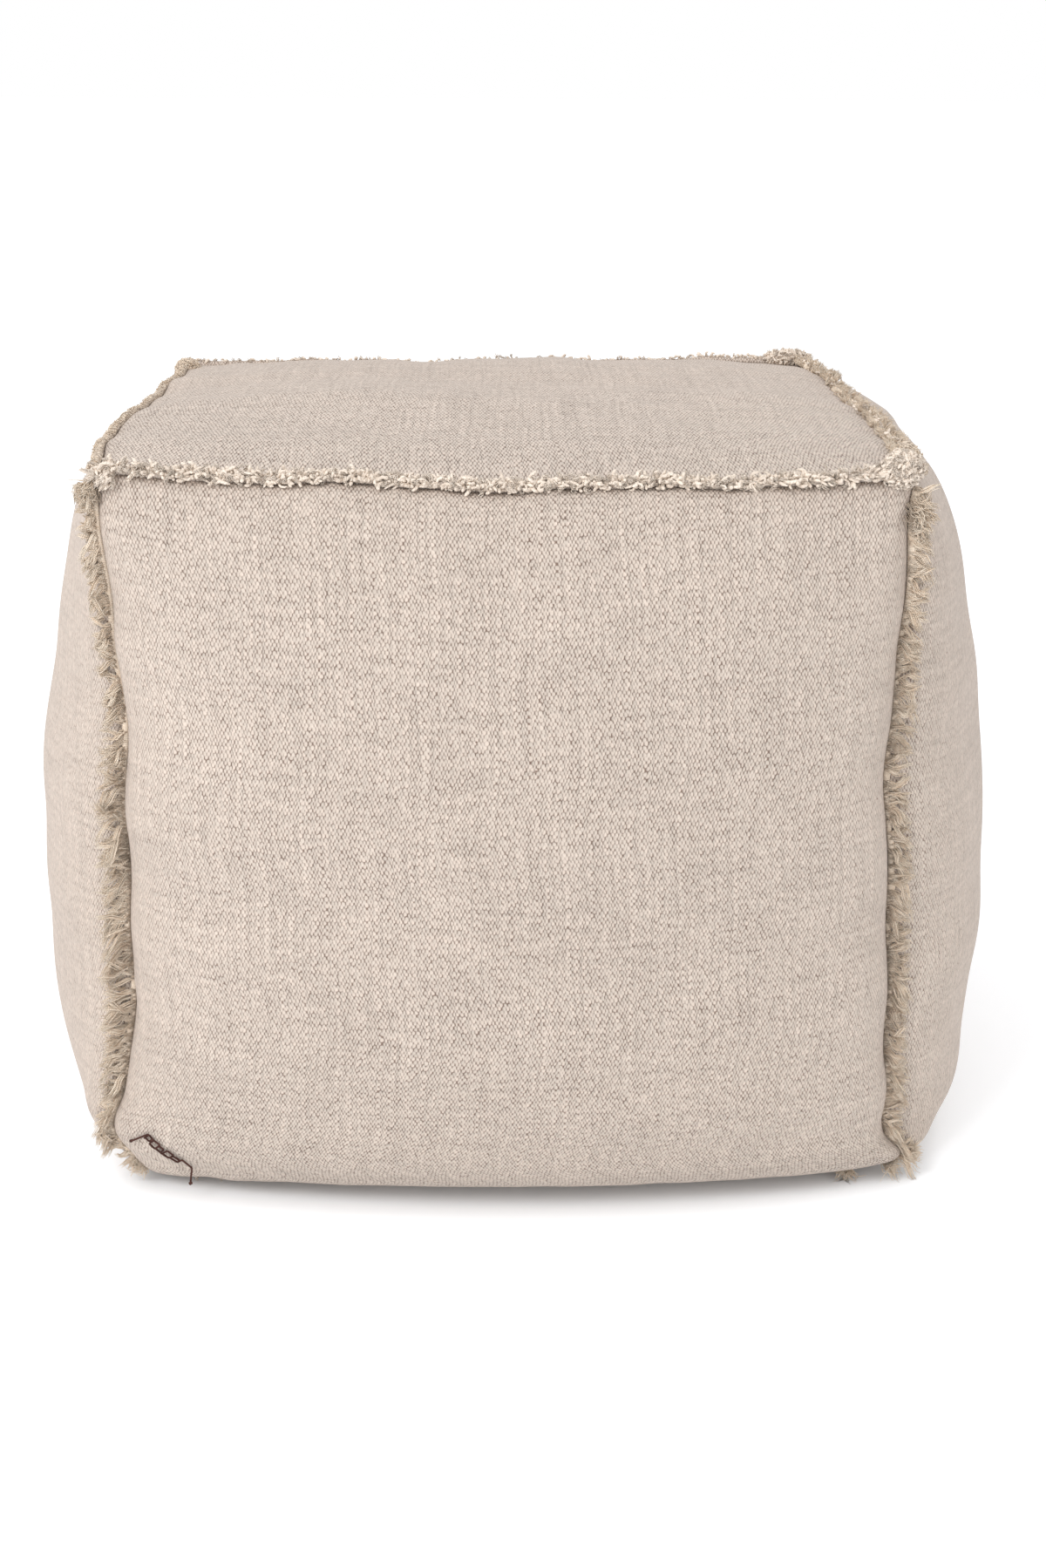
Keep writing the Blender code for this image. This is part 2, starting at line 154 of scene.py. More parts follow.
# ---- the frayed seam allowances ------------------------------------------------------------------
STRIP_END = 0.020          # the strip starts half this share of the seam from a corner
STRIP_STEPS = 160
STRIP_SWAY = 0.0007        # how far its edge leans to and fro
STRIP_RAGGED = 0.25        # how uneven its reach is
STRIP_LUMPY = 0.20         # and its thickness
STRIP_UNEVEN = (0.012, 0.023, 0.017)     # along the seam, from one bump of each to the next
UV_APART = 0.0371          # from one yarn's UVs to the next one's
YARN_RADIUS = 0.00094      # thick ends of the warp
YARN_CURL = 0.0012
YARN_STEPS = 7             # points along a yarn
OPENED_YARNS = 0.35        # share of the yarns whose twist has come undone
OPENED_INTO = 4            # threads
PLY_PITCH = 0.0080         # along an opened yarn, from one turn of its threads to the next
THREAD_RADIUS = 0.00033    # fine threads of the weft
FRAY_CRISPNESS = 0.9       # how clearly the weave stands out on the strips
BARE = 0.10                # share of a strip's reach below the roots of its threads
LEFT_BARE = ((0.50, 0.75), (0.05, 0.50))     # and on the left seams, at these shares of their height
LOCK_CURL = 0.0031
LOCK_WIDTH = 0.34          # of a lock, as a share of the way to the next
FULL_CURL_LENGTH = 0.012   # threads shorter than this curl less
LOCK_STEPS = 6             # points along a fine thread
NAP_STEPS = 4
NAP_LENGTH = 0.0028
KNOB_STEPS = 5
KNOB_CORE = 0.82           # how much smaller the core of a knob is than its cover
KNOB_CORE_STEPS = 11
KNOB_CORE_SIDES = 12
KNOB_YARN_RADIUS = 0.80 * YARN_RADIUS
LEAST_HEIGHT = 0.0002      # of any loose end above the floor

# How thick a yarn is, a thread of an opened yarn and a fine thread, at these shares of the length.
YARN_PROFILE = ((0.0, 0.3, 0.75, 0.93, 1.0), (0.80, 1.00, 1.05, 0.85, 0.45))
OPENED_PROFILE = ((0.0, 0.7, 1.0), (0.42, 0.36, 0.20))
THREAD_PROFILE = ((0.0, 0.7, 1.0), (1.00, 0.85, 0.35))

# How uneven all of them are: the least and the most of what each shares in, or the spread around
# none. Droop, bend and bow are shares of the length.
YARN_WIDTHS, THREAD_WIDTHS = (0.75, 1.20), (0.75, 1.25)
OPENED_SPLAY = (0.3, 1.8)
YARN_ROOTS = (0.35, 1.00)
YARN_OUTWARD = (0.45, 1.00)
YARN_SLANT = 0.45
YARN_LENGTHS = (0.60, 1.05)
YARN_CURLS = (0.3, 1.6)
YARN_TURNS = (0.3, 0.8)
YARN_BEND = 0.35
YARN_DROOP = (0.15, 0.50)
LOCK_SLANT, STRAND_SLANT = 0.16, 0.035
LOCK_LENGTHS, STRAND_LENGTHS = (0.85, 1.12), (0.86, 1.03)
LOCK_CURLS, STRAND_CURLS = (0.3, 1.3), (0.9, 1.1)
LOCK_TURNS = (0.4, 1.0)
LOCK_BOW = 0.42
LOCK_DROOP = 0.15
STRAND_LIFT = 0.05
STRAND_PHASE = 0.12
STRANDS_MEET = 0.3         # how much of their spread the strands of a lock lose towards its tip
NAP_ROUND = 0.70           # how far round the strip the nap grows, in half turns
NAP_LIFT, NAP_SPREAD = 0.45, 0.40
NAP_LENGTHS = (0.5, 1.2)
NAP_BEND = 0.35
TUFT_LENGTHS = (0.7, 1.1)
TUFT_CURLS = (0.3, 1.5)
TUFT_TURNS = (0.3, 0.9)
TUFT_BEND = 0.35
KNOB_ROOTS = 0.8           # how deep in a knob its yarns start, as a share of its half sizes
KNOB_COMBED = 0.8          # how much they lie round its front-to-back axis
KNOB_LIFT = (0.2, 1.1)
KNOB_LENGTHS = (0.70, 1.15)
KNOB_CURLS = (0.05, 0.20)
KNOB_TURNS = (0.3, 0.8)
KNOB_BEND = 0.35

# ---- painted shade in the creases along the seams, in place of their shadow ----------------------
CLOTH_CREASE_SHADE = 0.0016      # it fades over this distance on the cloth
FRAY_CREASE_SHADE = 0.0018       # and over this one on what frays out of the seam
CREASE_SHADE_DEPTH = 0.62
# the colour of the painted shade in the creases, in place of their shadow
CREASE_SHADE_COLOUR = (0.150, 0.095, 0.062, 1.0)

X_AXIS, Y_AXIS, Z_AXIS = 0, 1, 2
LEFT = FRONT = BASE = -1
RIGHT = BACK = TOP = 1

Corner = namedtuple("Corner", "side_x side_y level dx dy dz")
CORNERS = (
    Corner(LEFT, FRONT, TOP, 0.005, 0.001, 0.002),
    Corner(RIGHT, FRONT, TOP, -0.006, 0.000, -0.002),
    Corner(LEFT, BACK, TOP, 0.002, 0.001, -0.001),
    Corner(RIGHT, BACK, TOP, -0.003, 0.001, 0.002),
    Corner(LEFT, FRONT, BASE, 0.005, 0.000, 0.000),
    Corner(RIGHT, FRONT, BASE, 0.007, -0.001, 0.000),
    Corner(LEFT, BACK, BASE, -0.002, -0.003, 0.000),
    Corner(RIGHT, BACK, BASE, 0.004, 0.002, 0.000),
)

# low_power and high_power say how soon a panel is full above its lower edge and below its upper edge;
# the smaller, the sooner.
Panel = namedtuple("Panel", "name axis side fullness relief_phase low_power high_power")
PANELS = (
    Panel("front", Y_AXIS, FRONT, 0.072, 0.4, 0.34, 0.51),
    Panel("back", Y_AXIS, BACK, 0.068, 2.9, 0.28, 0.51),
    Panel("left", X_AXIS, LEFT, 0.075, 1.3, 0.42, 0.66),
    Panel("right", X_AXIS, RIGHT, 0.090, 4.1, 0.30, 0.45),
    Panel("top", Z_AXIS, TOP, CROWN, 5.2, CROWN_POWER, CROWN_POWER),
    Panel("base", Z_AXIS, BASE, BASE_SAG, 0.0, BASE_POWER, BASE_POWER),
)

# Places where the filling stands further out of a panel, or less far: the shares of its width and
# height there, how far they spread, and the height.
Lump = namedtuple("Lump", "panel across along wide tall height")
LUMPS = (
    Lump("right", 0.80, 0.93, 0.18, 0.10, 0.016),
    Lump("right", 0.40, 0.80, 0.28, 0.14, -0.005),
    Lump("right", 0.18, 0.060, 0.22, 0.055, 0.0075),
    Lump("front", 0.12, 0.08, 0.22, 0.08, -0.005),
)

# One row for each seam. It runs along axis, between the panels that face first and second, which are
# the lower and the higher of the two other axes. bow_first and bow_second arch it outwards at its
# middle, and wave is the height of its small ripples. lean turns the frayed strip from the first
# panel's direction, 0, to the second's, 1. ess is how far the seam sways to and fro in a long S.
Seam = namedtuple("Seam", "name axis first second bow_first bow_second wave phase lean ess")
SEAMS = (
    Seam("top_front", X_AXIS, FRONT, TOP, 0.007, -0.006, 0.0012, 0.3, 0.52, 0.0),
    Seam("top_back", X_AXIS, BACK, TOP, 0.006, -0.001, 0.0012, 1.9, 0.50, 0.0),
    Seam("top_left", Y_AXIS, LEFT, TOP, 0.003, 0.002, 0.0012, 4.4, 0.18, 0.0045),
    Seam("top_right", Y_AXIS, RIGHT, TOP, 0.010, -0.003, 0.0012, 3.1, 0.90, 0.0),
    Seam("side_front_left", Z_AXIS, LEFT, FRONT, -0.012, 0.000, 0.0020, 0.9, 0.05, 0.0),
    Seam("side_front_right", Z_AXIS, RIGHT, FRONT, -0.011, 0.000, 0.0020, 2.2, 0.05, 0.0),
    Seam("side_back_left", Z_AXIS, LEFT, BACK, -0.010, 0.000, 0.0020, 5.6, 0.25, 0.0),
    Seam("side_back_right", Z_AXIS, RIGHT, BACK, -0.010, 0.000, 0.0020, 3.7, 0.25, 0.0),
    Seam("base_front", X_AXIS, FRONT, BASE, 0.004, 0.000, 0.0000, 1.1, 0.00, 0.0),
    Seam("base_back", X_AXIS, BACK, BASE, 0.004, 0.000, 0.0000, 2.4, 0.00, 0.0),
    Seam("base_left", Y_AXIS, LEFT, BASE, 0.004, 0.000, 0.0000, 3.3, 0.00, 0.0),
    Seam("base_right", Y_AXIS, RIGHT, BASE, 0.004, 0.000, 0.0000, 4.8, 0.00, 0.0),
)

# What frays out of each seam: thick yarns, and locks of fine threads, so many strands to a lock, both
# with their lengths at five even places along the seam. open_first and open_second are how far the
# two layers of the strip open, slant how far the locks lean along the seam, at the same five places,
# and shown the share of the locks that lie in the first layer. nap is the number of short threads
# that lie all over the strip, and reach and thick are the strip's own size.
Fray = namedtuple(
    "Fray",
    "seam yarns yarn_lengths open_first open_second locks strands lock_lengths slant shown reach thick nap",
)
NONE = (0.0, 0.0, 0.0, 0.0, 0.0)
TOP_FRONT_YARNS = (0.0070, 0.0070, 0.0058, 0.0062, 0.0080)
TOP_BACK_YARNS = (0.0024, 0.0018, 0.0015, 0.0022, 0.0055)
TOP_RIGHT_YARNS = (0.0050, 0.0045, 0.0045, 0.0045, 0.0050)
TOP_RIGHT_LOCKS = (0.0070, 0.0064, 0.0060, 0.0062, 0.0070)
BASE_YARNS = (0.0022, 0.0022, 0.0022, 0.0022, 0.0022)
LEFT_LOCKS = (0.0070, 0.0170, 0.0155, 0.0095, 0.0100)
RIGHT_LOCKS = (0.0110, 0.0110, 0.0120, 0.0110, 0.0110)
BACK_LOCKS = (0.0090, 0.0120, 0.0110, 0.0120, 0.0100)
LEFT_SLANT = (-0.30, -0.15, -0.10, -0.05, -0.90)
RIGHT_SLANT = (-0.10, -0.20, -0.20, -0.20, -0.55)
BACK_SLANT = (-0.20, -0.30, -0.40, -0.50, -0.60)
TOP_SLANT = (0.30, 0.22, 0.15, 0.08, 0.00)
NO_LOCKS = (0, 0, NONE, NONE, 0.5)
TOP_RIGHT = (240, 10, TOP_RIGHT_LOCKS, TOP_SLANT, 0.6)
FRONT_LEFT = (260, 12, LEFT_LOCKS, LEFT_SLANT, 0.78)
FRONT_RIGHT = (260, 12, RIGHT_LOCKS, RIGHT_SLANT, 0.22)
BACKS = (110, 10, BACK_LOCKS, BACK_SLANT, 0.5)
BACK_SEAMS = ("side_back_left", "side_back_right")
BASE_SEAMS = ("base_front", "base_back", "base_left", "base_right")
FRAYS = (
    Fray("top_front", 1330, TOP_FRONT_YARNS, 0.25, 1.00, *NO_LOCKS, 0.0050, 0.0030, 0),
    Fray("top_back", 480, TOP_BACK_YARNS, 0.60, 0.60, *NO_LOCKS, 0.0048, 0.0040, 0),
    Fray("top_left", 0, NONE, 0.10, 0.10, *NO_LOCKS, 0.0056, 0.0054, 2400),
    Fray("top_right", 110, TOP_RIGHT_YARNS, 0.60, 0.40, *TOP_RIGHT, 0.0046, 0.0050, 1300),
    Fray("side_front_left", 0, NONE, 0.40, 0.35, *FRONT_LEFT, 0.0042, 0.0026, 0),
    Fray("side_front_right", 0, NONE, 0.35, 0.40, *FRONT_RIGHT, 0.0042, 0.0026, 0),
    *(Fray(seam, 0, NONE, 0.35, 0.35, *BACKS, 0.0042, 0.0026, 0) for seam in BACK_SEAMS),
    *(Fray(seam, 60, BASE_YARNS, 0.30, 0.30, *NO_LOCKS, 0.0036, 0.0026, 0) for seam in BASE_SEAMS),
)

# The section of a strip of cloth: its shares of the reach and of half the thickness, all the way round.
STRIP_RING = (
    (0.0, -0.75), (0.35, -1.0), (0.65, -0.95), (0.88, -0.65), (1.0, 0.0),
    (0.88, 0.65), (0.65, 0.95), (0.35, 1.0), (0.0, 0.75),
)

# The materials of a fringe, in the order of its slots. The last is a mottled cotton, darker than the
# threads over it, as painted shade under them.
CLOTH, CREAM, TAN, SHADED_CORE = 0, 1, 2, 3
FRINGE_MATERIALS = ("cream_weave", "cream_yarn", "tan_thread", "shaded_tan_core")
TUFT_CURL = {True: 0.5 * LOCK_CURL, False: 1.2 * YARN_CURL}     # of fine threads, and of yarns

# Bunches at the corners, where two or three strips meet: where along the seam and how far out of it
# they stand, how wide their roots lie, which way they point and how far they fan out.
Tuft = namedtuple("Tuft", "seam share out size fine colour count length aim fan")
TUFTS = (
    Tuft("top_front", 0.015, 0.003, 0.0060, False, CREAM, 90, 0.0100, (-0.50, -0.45, -0.70), 0.15),
    Tuft("side_front_left", 0.985, 0.002, 0.0050, True, TAN, 260, 0.0095, (-0.55, -0.30, -0.80), 0.13),
    Tuft("side_front_right", 0.960, 0.002, 0.0080, True, TAN, 300, 0.0105, (0.60, -0.35, -0.70), 0.18),
    Tuft("side_front_left", 0.020, 0.001, 0.0065, True, TAN, 220, 0.0055, (-0.70, -0.60, -0.20), 0.30),
    Tuft("side_front_right", 0.020, 0.001, 0.0022, True, TAN, 130, 0.0140, (0.95, -0.25, 0.10), 0.12),
    Tuft("side_front_right", 0.008, 0.000, 0.0022, True, TAN, 120, 0.0135, (0.60, -0.75, -0.02), 0.12),
    Tuft("base_front", 0.965, 0.001, 0.0030, True, TAN, 120, 0.0120, (-0.25, -0.90, -0.02), 0.15),
)

# Round knobs of fray over a corner: where along the seam, how far from there (x, y, z), the half
# sizes of the knob, and how many yarns or fine threads of what length cover it.
Knob = namedtuple("Knob", "seam share shift half fine colour count length")
KNOBS = (
    Knob("top_front", 0.985, (-0.001, -0.002, 0.006), (0.012, 0.009, 0.0105), False, CREAM, 780, 0.0056),
    Knob("top_right", 0.060, (-0.002, 0.000, 0.006), (0.009, 0.018, 0.010), True, TAN, 800, 0.0055),
    Knob("top_left", 0.970, (0.000, -0.002, -0.001), (0.011, 0.012, 0.010), True, TAN, 1000, 0.0032),
    Knob("top_back", 0.985, (-0.002, 0.000, 0.004), (0.019, 0.008, 0.0065), False, CREAM, 260, 0.0045),
)

# The hand stitch: shares of the front panel's width and height under the ends and turns of its thread.
FIRST_KNOT = (0.0265, 0.0772)
FIRST_BAR = (0.0490, 0.0922)
LAST_BAR = (0.0786, 0.0536)
HANGING = (0.0845, 0.0407)
DROP = (-0.0012, -0.0010, -0.0095)      # from there the end of the thread hangs free, this far
STITCH_BARS = 6
STITCH_HALF_WIDTH = 0.0024
BAR_WIDTHS = (0.75, 1.25)  # the least and the most of that
THREAD_LIFT = 0.0014       # centre of the thread above the cloth
THREAD_TURN = 0.0007       # how near to a corner of its path the thread starts to turn
STITCH_RADIUS = 0.00062
STITCH_PLIES = 3
PLY_ORBIT = 0.50 * STITCH_RADIUS        # how far the middle of a ply is from the thread's
PLY_RADIUS = 0.58 * STITCH_RADIUS
PLY_SIDES = 6
STITCH_PITCH = 0.0034
STITCH_STEPS = 150
KNOT_STEPS = 40
KNOT_TURNS = 2.5
KNOT_RADIUS = 1.425 * STITCH_RADIUS     # of its turns
KNOT_THREAD = 0.55 * STITCH_RADIUS
KNOT_STRAY = 0.00008
STITCH_STRAY = 0.0005      # how far its bars stray from even places

CORNER_AT = {(row.side_x, row.side_y, row.level): row for row in CORNERS}
SEAM_AT = {(row.axis, row.first, row.second): row for row in SEAMS}
SEAM_NAMED = {row.name: row for row in SEAMS}
PANEL_NAMED = {row.name: row for row in PANELS}

# ---- camera, fitted to the seam corners in the photograph ----------------------------------------
LENS = 50.37               # in millimetres
CAMERA_PLACE = (-0.0355, -1.4230, 0.6508)
CAMERA_PITCH = 0.3180
CAMERA_YAW = 0.0292
CAMERA_ROLL = 0.0045

# ---- light and floor -----------------------------------------------------------------------------
KEY_PLACE = (-1.7, -2.2, 2.4)
KEY_TARGET = (0.0, 0.0, 0.25)
KEY_SIZE = (1.4, 1.2)
KEY_POWER = 48.0
FLOOR_HALF = 40.0
FLOOR_GLOW = 0.27          # the floor's own light, which keeps it nearly white
CONTACT_SHADOW_REACH = 0.020          # it fades within this distance of the stool, which paints a contact shadow there


# ---- the form of the filled cloth ----------------------------------------------------------------
def unit(axis, sign=1.0):
    """The direction of an axis."""
    direction = np.zeros(3)
    direction[axis] = sign
    return direction


def normalized(vectors):
    return vectors / np.maximum(np.linalg.norm(vectors, axis=-1, keepdims=True), 1e-12)


def other_axes(axis):
    return [other for other in (X_AXIS, Y_AXIS, Z_AXIS) if other != axis]


def arch(share):
    """0 at both ends, 1 in the middle."""
    return 4.0 * share * (1.0 - share)


def hump(share, low_power, high_power):
    """How full a panel is at this share of its width: 0 at its seams and 1 at its fullest."""
    fullest = low_power / (low_power + high_power)
    most = fullest**low_power * (1.0 - fullest) ** high_power
    share = np.clip(share, 0.0, 1.0)
    return share**low_power * (1.0 - share) ** high_power / most


def corner_point(side_x, side_y, level):
    """Where three seams meet."""
    row = CORNER_AT[side_x, side_y, level]
    half = SEAM_SPAN / 2 if level == TOP else SEAM_SPAN / 2 - BASE_TUCK
    height = TOP_SEAM_Z if level == TOP else BASE_SEAM_Z
    middle_x, middle_y = SEAMS_OFF_CENTRE
    place = (middle_x + side_x * half + row.dx, middle_y + side_y * half + row.dy, height + row.dz)
    return np.array(place)


def seam_end(seam, end):
    """The corner at the low end of a seam, -1, or at its high end, 1."""
    signs = [0, 0, 0]
    signs[seam.axis] = end
    for axis, sign in zip(other_axes(seam.axis), (seam.first, seam.second)):
        signs[axis] = sign
    return corner_point(*signs)


def mixed(start, end, share):
    return start + (end - start) * np.asarray(share)[..., None]


def bell(share, middle, span):
    """1 in the middle, and less and less on both sides of it."""
    return np.exp(-(((share - middle) / span) ** 2))


def folded_out(side, share):
    """How far the front panel folds out over the seam on this side, at these shares of its height."""
    if side == LEFT:
        return LEFT_FOLD * bell(share, LEFT_FOLD_AT, LEFT_FOLD_SPAN)
    near_floor = np.exp(-share / RIGHT_FOLD_AT)
    on_floor = bell(0.0, RIGHT_FOLD_AT, RIGHT_FOLD_SPAN) * near_floor
    tucked = RIGHT_TUCK * bell(share, RIGHT_TUCK_AT, RIGHT_TUCK_SPAN) * (1.0 - near_floor)
    return RIGHT_FOLD * (bell(share, RIGHT_FOLD_AT, RIGHT_FOLD_SPAN) - on_floor) - tucked


def seam_points(seam, share):
    """Points on a seam line, at these shares of the way along it."""
    share = np.asarray(share, float)
    points = mixed(seam_end(seam, -1), seam_end(seam, 1), share)
    first_axis, second_axis = other_axes(seam.axis)
    ripple = seam.wave * np.sqrt(np.maximum(arch(share), 0.0))
    turn = 2 * math.pi * share
    slow = np.sin(2.3 * turn + seam.phase) + 0.6 * np.sin(5.2 * turn + 2 * seam.phase)
    fast = np.cos(3.1 * turn + seam.phase) + 0.5 * np.sin(7.4 * turn + 3 * seam.phase)
    points[..., first_axis] += seam.first * (seam.bow_first * arch(share) + ripple * slow)
    points[..., second_axis] += seam.second * (seam.bow_second * arch(share) + ripple * fast)
    if seam.axis == Z_AXIS:
        drawn_out = BASE_TUCK * (1.0 - np.exp(-share / TUCK_SHARE)) * (1.0 - share)
        points[..., first_axis] += seam.first * drawn_out
        points[..., second_axis] += seam.second * drawn_out
    if seam.axis == Z_AXIS and seam.second == FRONT:
        points[..., X_AXIS] += seam.first * folded_out(seam.first, share)
        if seam.first == LEFT:
            tuck = LEFT_TUCK * (1.0 - share) * (1.0 - bell(share, 0.0, LEFT_FOLD_SPAN))
            points[..., X_AXIS] -= tuck
    points[..., first_axis] += seam.first * seam.ess * np.sin(turn)
    return points


def patch_points(panel, across, along):
    """The soap-film surface between the four seams of a panel (a Coons patch)."""
    low_axis, high_axis = other_axes(panel.axis)

    def bordering(running_axis, fixed_axis, fixed_sign):
        signs = {fixed_axis: fixed_sign, panel.axis: panel.side}
        first, second = (signs[axis] for axis in other_axes(running_axis))
        return SEAM_AT[running_axis, first, second]

    lower = bordering(low_axis, high_axis, -1)
    upper = bordering(low_axis, high_axis, 1)
    near = bordering(high_axis, low_axis, -1)
    far = bordering(high_axis, low_axis, 1)
    ruled = mixed(seam_points(lower, across), seam_points(upper, across), along)
    ruled += mixed(seam_points(near, along), seam_points(far, along), across)
    flat_lower = mixed(seam_end(lower, -1), seam_end(lower, 1), across)
    flat_upper = mixed(seam_end(upper, -1), seam_end(upper, 1), across)
    return ruled - mixed(flat_lower, flat_upper, along)


def relief(panel, across, along):
    """Soft lumps of the filling under the cloth."""
    phase = panel.relief_phase
    lumps = np.sin(9.1 * across + phase) * np.cos(7.3 * along + 1.7 * phase)
    lumps += 0.6 * np.sin(15.7 * along + 6.1 * across + 2.3 * phase)
    height = RELIEF * lumps * arch(across) * arch(along)
    for lump in LUMPS:
        if lump.panel == panel.name:
            spread = bell(across, lump.across, lump.wide) * bell(along, lump.along, lump.tall)
            fade = np.minimum(1.0, RELIEF_FADE * arch(across))
            fade = fade * np.minimum(1.0, RELIEF_FADE * arch(along))
            height = height + lump.height * spread * fade
    return height


def panel_points(panel, across, along):
    """Points of a filled panel, from their shares along the two axes that it spans."""
    points = patch_points(panel, across, along)
    powers = (panel.low_power, panel.high_power)
    across_powers = powers if panel.axis == Z_AXIS else (ACROSS_POWER, ACROSS_POWER)
    out = panel.fullness * hump(across, *across_powers) * hump(along, *powers)
    if panel.name != "base":
        out = out + relief(panel, across, along)
    if panel.axis == X_AXIS:
        out = out + folded_out(panel.side, along) * (bell(across, 0.0, FOLD_REACH) - (1.0 - across))
    points[..., panel.axis] += panel.side * out
    if panel.name == "base":
        points[..., Z_AXIS] = np.maximum(points[..., Z_AXIS], 0.0)
    return points


def crowded(place, axis):
    """Crowds evenly spaced places, -1 to 1, towards the seams, and returns shares, 0 to 1."""
    share = (1.0 + np.sin(math.pi / 2 * place)) / 2
    return share**LOW_CROWDING if axis == Z_AXIS else share


# ---- making meshes -------------------------------------------------------------------------------
def make_mesh(name, points, faces, uv=None):
    """A mesh object from an array of points and a list of face arrays, each of one face size.

    uv holds one pair for each corner of each face, in the same order."""
    mesh = bpy.data.meshes.new(name)
    mesh.vertices.add(len(points))
    mesh.vertices.foreach_set("co", np.asarray(points, np.float32).ravel())
    corners = np.concatenate([np.asarray(block, np.int32).ravel() for block in faces])
    sizes = np.concatenate([np.full(len(block), len(block[0]), np.int32) for block in faces])
    mesh.loops.add(len(corners))
    mesh.loops.foreach_set("vertex_index", corners)
    mesh.polygons.add(len(sizes))
    starts = np.concatenate(([0], np.cumsum(sizes)[:-1])).astype(np.int32)
    mesh.polygons.foreach_set("loop_start", starts)
    if uv is not None:
        layer = mesh.uv_layers.new(name="weave")
        layer.data.foreach_set("uv", np.asarray(uv, np.float32).ravel())
    mesh.update(calc_edges=True)
    mesh.validate()
    mesh.shade_smooth()
    made = bpy.data.objects.new(name, mesh)
    bpy.context.scene.collection.objects.link(made)
    return made


def grid_faces(rows, columns):
    """Quads of a grid of rows by columns points, numbered row by row."""
    row, column = np.meshgrid(np.arange(rows - 1), np.arange(columns - 1), indexing="ij")
    start = (row * columns + column).ravel()
    return np.stack((start, start + 1, start + columns + 1, start + columns), axis=1)


def lengths_along(points, axis=1):
    """How far each point of a grid lies from the start of its row or column, along the cloth."""
    steps = np.linalg.norm(np.diff(points, axis=axis), axis=-1)
    start = np.zeros_like(np.take(steps, [0], axis=axis))
    return np.concatenate((start, np.cumsum(steps, axis=axis)), axis=axis)


def flattened(points):
    """How far each point of a panel lies from its middle row and column, along the cloth."""
    middle = len(points) // 2
    across, along = lengths_along(points, 1), lengths_along(points, 0)
    return across - across[:, middle, None], along - along[middle]


# ---- the stuffed body ----------------------------------------------------------------------------
def smooth_noise(places, seed, step):
    """Even random noise, -1 to 1, over places along a line, with one bump about each step."""
    count = 512
    values = np.random.default_rng(seed).uniform(-1.0, 1.0, count)
    place = np.asarray(places) / step + count / 4
    whole = np.floor(place).astype(int)
    part = place - whole
    part = part * part * (3.0 - 2.0 * part)
    return values[whole % count] * (1.0 - part) + values[(whole + 1) % count] * part


def seam_distances(across, along):
    """How far each point of a panel lies from each of its four seams."""
    return (across - across[:, :1], across[:, -1:] - across, along - along[:1], along[-1:] - along)


def puckered(points, seed):
    """Draws the cloth in and out along its four seams, where the stitching gathers it."""
    across, along = flattened(points)
    normal = normalized(np.cross(np.gradient(points, axis=1), np.gradient(points, axis=0)))
    shift = np.zeros(points.shape[:2])
    places = (along, along, across, across)
    for side, (distance, place) in enumerate(zip(seam_distances(across, along), places)):
        fade = np.exp(-distance / PUCKER_DEPTH) * (1.0 - np.exp(-distance / (PUCKER_DEPTH / 4)))
        fine = smooth_noise(place + 0.15 * distance, seed * 8 + side, PUCKER_LENGTH)
        coarse = smooth_noise(place, seed * 8 + side + 4, LONG_PUCKER)
        shift += PUCKER * fade * (0.7 * fine + 0.6 * coarse)
    return points + normal * shift[..., None]


def build_body(material):
    """Six panels of fine cloth that share their borders, merged into one closed cushion."""
    count = PANEL_CELLS + 1
    places = np.linspace(-1.0, 1.0, count)
    points, faces, uv, painted_crease_shade = [], [], [], []
    for number, panel in enumerate(PANELS):
        low_axis, high_axis = other_axes(panel.axis)
        across, along = np.meshgrid(crowded(places, low_axis), crowded(places, high_axis))
        grid = panel_points(panel, across, along)
        if panel.name != "base":
            grid = puckered(grid, number)
        grid[..., Z_AXIS] = np.maximum(grid[..., Z_AXIS], 0.0)
        long_beads = TOP_BEADS if panel.name == "top" else 1.0
        run, rise = flattened(grid)
        flat = np.stack((run, rise / long_beads), axis=-1).reshape(-1, 2)
        # painted shade along the seams of each panel, in place of the shadow in their creases
        inside = np.min(seam_distances(run, rise), axis=0)
        painted_crease_shade.append(np.exp(-inside / CLOTH_CREASE_SHADE).ravel())
        quads = grid_faces(count, count)
        corners = grid.reshape(-1, 3)[quads[0]]
        facing = np.cross(corners[1] - corners[0], corners[3] - corners[0])
        if np.dot(facing, unit(panel.axis, panel.side)) < 0.0:
            quads = quads[:, ::-1]
        faces.append(quads + number * count * count)
        points.append(grid.reshape(-1, 3))
        uv.append(flat[quads.ravel()] + np.array((PANELS_APART * number, 0.0)))
    body = make_mesh("pouf_body_cloth", np.concatenate(points), faces, np.concatenate(uv))
    mark(body.data, "painted_crease_shade", np.concatenate(painted_crease_shade))
    bm = bmesh.new()
    bm.from_mesh(body.data)
    bmesh.ops.remove_doubles(bm, verts=bm.verts, dist=WELD)
    bm.to_mesh(body.data)
    bm.free()
    body.data.shade_smooth()
    body.data.materials.append(material)
    mark_crisp(body.data)
    return body


def mark(mesh, name, values):
    """Gives each point of the mesh a number that its material reads."""
    layer = mesh.attributes.new(name, "FLOAT", "POINT")
    layer.data.foreach_set("value", np.asarray(values, np.float32))


